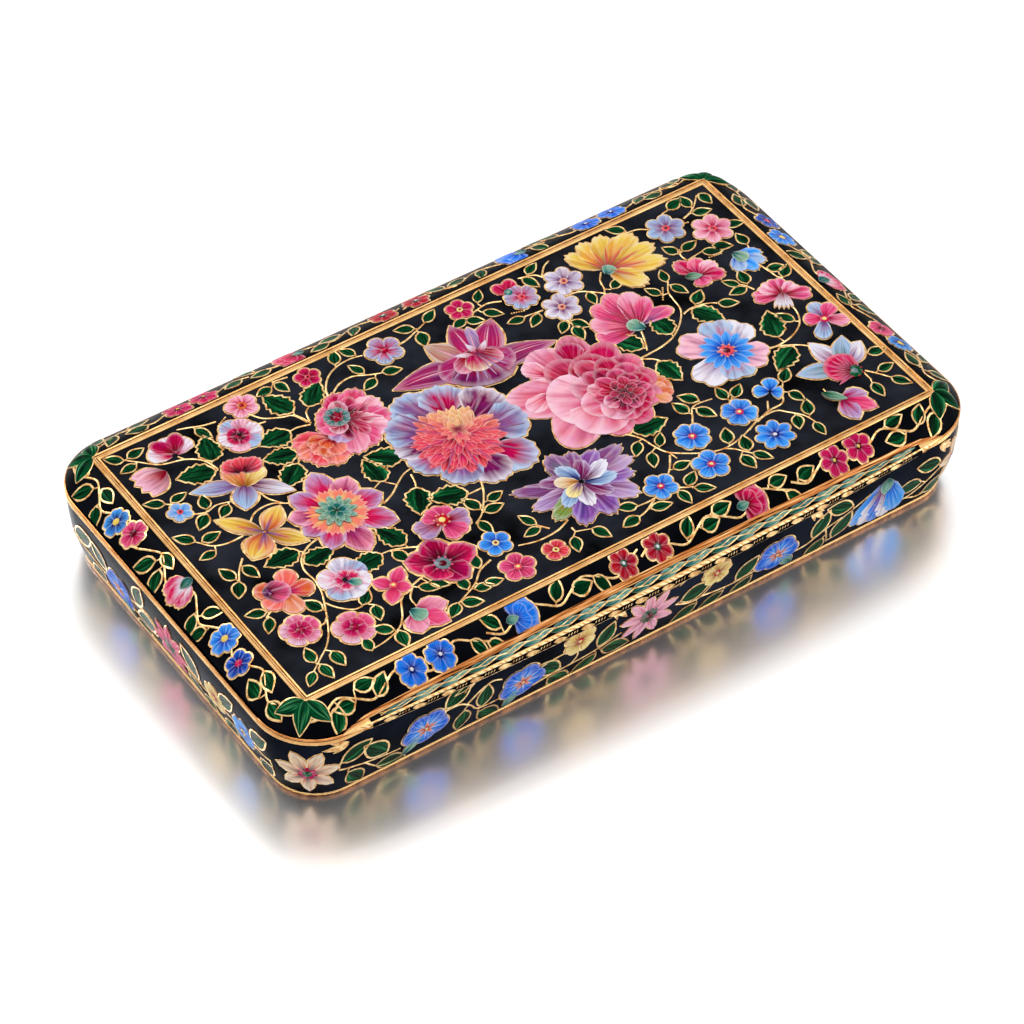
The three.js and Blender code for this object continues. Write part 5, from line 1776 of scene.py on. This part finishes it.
for side in BORDER_SIDES:
    long = side in ("front", "back")
    reach = 39.5 if long else 20
    routes = [
        wave(reach * start, reach * end, middle, swing)
        for start, end, middle, swing in (
            (-1, -0.5, 2.3, 0.75), (-0.5, 0, 2.4, -0.75), (0, 0.5, 2.3, 0.75), (0.5, 1, 2.4, -0.75))
    ]
    leaves = (LONG_LEAVES if long else SHORT_LEAVES, "leaf", 2.7, 0.66)
    flowers = long_border if long else short_border
    plant("border", side, "lid", border_surface(side), routes, 0.95, 0.95, leaves, flowers)


# %% The wall's strips and flowers
WALL_TOP = bead_low.z
STRIP_FOOT = 0.75
LOWEST_ORNAMENT = 0.85
HINGE_SPACE = 0.3
TRUMPET_ASLANT = 0.85


def wall_surface(side):
    """The wall of one side as a strip. The back's is squeezed, to end under the hinge."""
    squeeze = (pocket_low.z - HINGE_SPACE) / WALL_TOP if side == "back" else 1
    return lambda s, z, rise: on_wall(
        s + SIDES[side], STRIP_FOOT + (max(z, LOWEST_ORNAMENT) - STRIP_FOOT) * squeeze, rise)


def morning_glory(ground, x, y, axis, size):
    """A wide trumpet flower seen aslant: a blue funnel with a red star, and a striped tube."""
    away = math.radians(axis)
    foot_x = x - 4.9 * size * math.cos(away)
    foot_y = y - 4.9 * size * math.sin(away)
    for lean in (-9, 0, 9):
        petal(
            ground, "long_leaf", foot_x, foot_y, axis + lean, 3.4 * size, 0.6, "teal", "mint", 0,
            0.002 * lean)
    for radius, count, kind, root, tip, turn, rise, backed, overlap in (
            (3.5, 5, "cup", "sky", "blue", 0, 0.01, True, 1.25),
            (3.1, 10, "lance", "white", "azure", 0, 0.05, False, 0.22),
            (1.5, 5, "lance", "red", "peach", 36, 0.07, False, 0.5)):
        ring(
            ground, x, y, radius * size, count, kind, root, tip, axis + turn, 0, rise, TRUMPET_ASLANT,
            backed, overlap)
    eye(ground, x, y, 0.55 * size, "crimson", "straw", None, 0.1)


def star_flower(ground, x, y, radius, petals, root, tip, colour, middle, turn=0):
    """A ray flower with a ringed middle."""
    ring(ground, x, y, radius, petals, "pointed", root, tip, turn, 0, 0, 1, True, 0.8)
    ring(ground, x, y, radius * 0.8, petals, "lance", "maroon", tip, turn, 0, 0.035, 1, False, 0.3)
    eye(ground, x, y, radius * 0.33, colour, middle)


def bindweed(ground, x, y, heading, length):
    """A striped trumpet seen from the side."""
    edge = ("blue", "sky")
    stripe = ("purple", "white")
    for index, (root, tip) in enumerate((edge, stripe, ("crimson", "azure"), stripe, edge)):
        lean = 13 * (index - 2)
        petal(ground, "round", x, y, heading + lean, length, 0.4, root, tip, 0, SHINGLE * index)
    petal(ground, "leaf", x, y, heading, length * 0.35, 1.2, "teal", "mint", 0, 0.06, False)


# %% Where the wall's leaves and stems lie
LONG_WALL_LEAVES = [
    (-37.3, 7.2), (-34.3, 5.3), (-37.2, 2.6), (-34.2, 2.4), (-25.5, 7.4), (-23.8, 3), (-21.3, 5.2),
    (-20.8, 2), (-12.4, 4.2), (-12, 1.9), (-7.6, 1.9), (-4.8, 2.6), (-5.9, 5.2), (5.2, 5),
    (5.4, 2), (9.2, 1.9), (12.4, 4.2), (13.2, 1.9), (22.2, 4.8), (22.9, 1.9), (25.6, 3.3),
    (25.2, 7.2), (35, 4.8), (37.4, 6.9), (38.6, 2.4),
]
LONG_WALL_ROUTES = [
    [(-39.3, 5), (-37.6, 4.6), (-36, 4.1), (-33.4, 3.6), (-31.6, 3.4)],
    [(-36, 4.1), (-35, 2.8), (-33.7, 1.6), (-32, 1.4), (-30.4, 1.8)],
    [(-26.9, 6.2), (-24.6, 6.2), (-23, 5), (-22, 3.7), (-20, 3.4), (-18, 3.6)],
    [(-23.4, 5.6), (-21.8, 6.9), (-20.4, 7.4), (-19.2, 6.9)],
    [(-14.2, 5.6), (-12.6, 5.8), (-11, 5.9)],
    [(-14.8, 2.6), (-12.6, 3), (-10, 3.1), (-7, 3.4), (-3.6, 4.4)],
    [(-9.4, 5.2), (-9.3, 4.2), (-10, 3.1)], [(3.4, 4.6), (5.4, 3.5), (7, 3.6), (8.4, 5.2)],
    [(7, 3.6), (9.4, 3.1), (12, 2.9), (14.8, 3.4)],
    [(19.4, 3.2), (21.2, 3.3), (23.6, 4.6), (26.6, 5.6), (29.4, 7)],
    [(23.6, 4.6), (24.1, 2.9), (24.4, 1.6)], [(33.2, 3), (35, 2.6), (36.8, 3.4), (38.6, 4.8), (40, 5.4)],
    [(35, 2.6), (36.6, 1.7), (37.8, 1.6)],
]
SHORT_WALL_LEAVES = [
    (-17.2, 6.8), (-15.6, 2.2), (-14, 6.6), (-5.8, 7.1), (-5.4, 2.2), (-3.9, 4.7), (4.9, 6.6),
    (4.9, 2.6), (7.2, 2), (12, 7), (11.6, 2), (18.2, 7), (18.6, 2.4),
]
SHORT_WALL_ROUTES = [
    [(-20.4, 5), (-18.2, 4.8), (-16.2, 4.4), (-13.4, 4.2), (-11.6, 4.6)],
    [(-7.6, 5.2), (-6, 5.6), (-4.4, 6.2), (-3, 6)], [(-7.8, 3.6), (-6, 3.4), (-4, 3.1), (-2.6, 3.6)],
    [(3.4, 4.6), (5, 4.4), (6.6, 4.2), (7.8, 4.4)], [(11, 4.6), (12.4, 4.8), (13.4, 4.8)],
    [(16.8, 4.6), (18.4, 4.8), (20.2, 5)],
]
print("stems on a long wall:", len(LONG_WALL_ROUTES))

# %% Sprays of the wall


def long_wall(ground):
    """Flowers of the front and back walls, with star flowers on the corners."""
    morning_glory(ground, -28.6, 5.0, 52, 0.85)
    morning_glory(ground, -16.4, 4.6, 62, 0.85)
    rosette(ground, -9.3, 6.9, 2.1, 4, "heart", "ochre", "straw", "red", "straw", 45)
    star_flower(ground, -0.2, 5.2, 3.8, 9, "rose", "blush", "green", "maroon", 10)
    rosette(ground, 8.6, 6.8, 2.0, 5, "heart", "ochre", "straw", "red", "straw", 18)
    morning_glory(ground, 17, 4.5, 128, 0.85)
    bindweed(ground, 31.6, 8.4, 262, 7.2)
    corner = STRAIGHT_LONG / 2 + CORNER_ARC / 2
    for end in (-1, 1):
        star_flower(ground, end * (corner - 0.6), 5.1, 3.7, 7, "orange", "cream", "magenta", "green", 13)


def short_wall(ground):
    """Flowers of the two short walls."""
    morning_glory(ground, -10.2, 4.6, 118, 0.8)
    star_flower(ground, 0.4, 4.9, 3.4, 8, "crimson", "pink", "green", "maroon", 0)
    rosette(ground, 9.4, 5.2, 2.0, 5, "heart", "ochre", "straw", "red", "straw", 18)
    pair(ground, [(15, 4.9)], 2.2, 5, "heart", "blue", "sky", "straw", "crimson")


for side in SIDES:
    long = side in ("front", "back")
    routes = [smooth_route(points) for points in (LONG_WALL_ROUTES if long else SHORT_WALL_ROUTES)]
    leaves = (LONG_WALL_LEAVES if long else SHORT_WALL_LEAVES, "long_leaf", 4.2, 0.55)
    flowers = long_wall if long else short_wall
    plant("wall", side, "base", wall_surface(side), routes, 1.15, 0.85, leaves, flowers)


# %% [markdown]
# Each corner of the lid carries a raised leaf of three lobes: two spread along the sides and one
# points at the corner. They are the thickest enamel on the box, over a gold edge.

# %% Corner leaves
LEAF_SET_IN = 0.35
LOBES = ((56, 3.1), (-56, 3.1), (0, 3.0))
for front in (-1, 1):
    for end in (-1, 1):
        node = f"lid_corner_leaf_{'front' if front < 0 else 'back'}_{'left' if end < 0 else 'right'}"
        sheet = new_sheet()
        out = math.degrees(math.atan2(front, end))
        root_x = end * (fillet_high.x - LEAF_SET_IN)
        root_y = front * (fillet_high.y - LEAF_SET_IN)
        for lean, length in LOBES:
            put(sheet, "lobe", root_x, root_y, out + lean, length, 1.1, -0.004 * lean, 0 if lean else 0.03)
        name = f"corner_leaf_{front + 1}_{end + 1}"
        piece = lay(sheet, on_lid, name, "lid", [lobe_green, line_gold])
        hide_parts(node)


# %% [markdown]
# The thumb lip is a gold crescent with two enamel bands sunk in it. The upper valley holds small
# leaves between wavy wires, and the front holds black panels with slanting dashes.
# Both bands taper with the lip, so their ornament is drawn across a strip from 0 to 1 and
# stretched between the two edges of the band at each place.

# %% The lip's two bands as strips
LIP_COUNT = 20


def lip_strip(which):
    """The surface of one of the lip's bands: along the box, then 0 to 1 across the band."""
    def surface_of(x, across, rise):
        high, low = lip_rails(x)[which]
        high = Vector((0, high[0] - HALF_WIDTH, high[1]))
        low = Vector((0, low[0] - HALF_WIDTH, low[1]))
        up = Vector((1, 0, 0)).cross(high - low).normalized()
        return Vector((x, 0, 0)) + low.lerp(high, min(max(across, 0.02), 0.98)) + up * rise
    return surface_of


# %% Leaves, wires and dashes of the lip
half = inlay_high.x - 1.2
places = [-half + 2 * half * (index + 0.5) / LIP_COUNT for index in range(LIP_COUNT)]
lip_leaves = new_sheet()
dashes = new_sheet()
for index, x in enumerate(places):
    root, tip = ("teal", "mint") if index % 3 else ("green", "teal")
    put(lip_leaves, "lance", x - 1.4, 0.34, 6, 2.7, 0.85, 0.05, -0.01, tone(root), tone(tip))
    put(lip_leaves, "lance", x + 0.3, 0.8, -5, 2.1, 0.6, -0.05, -0.01, tone("teal"), tone(tip))
    put(dashes, "leaf", x - 1.75, 0.52, 0, 1.7, 0.85, 0.1, -0.03)
    for step in range(4):
        put(dashes, "lance", x + 0.05 + 0.36 * step, 0.32, 62, 0.5, 0.5, 0, -0.02)
wires = []
for middle, shift in ((0.42, 0), (0.66, 1.6)):
    points = [
        (-half + 2 * half * step / 80, middle + 0.16 * math.sin(step * math.pi / 2 + shift))
        for step in range(81)
    ]
    wires.append((smooth_route(points, 2), 0.6, 0.6))
lay(lip_leaves, lip_strip(0), "lip_leaves", "lid", [petal_paint])
lay(dashes, lip_strip(1), "lip_dashes", "lid", [line_gold, line_gold])
lay_stems(wires, lip_strip(0), "lip_wires", "lid")

# %% Gold leaves that hang from the seam over the front wall
HANGER_TOP = 9.3
hangers = new_sheet()
for x, heading in ((-22.5, 214), (-5.2, 322), (5.0, 218), (21.0, 320), (-38.2, 200), (38.6, 340)):
    for lean, length in ((0, 3.0), (22, 2.1), (-22, 2.1)):
        put(hangers, "leaf", x, HANGER_TOP, heading + lean, length, 0.5, 0.2, -0.02)
lay(hangers, on_wall, "wall_gold_leaves", "base", [line_gold, line_gold])
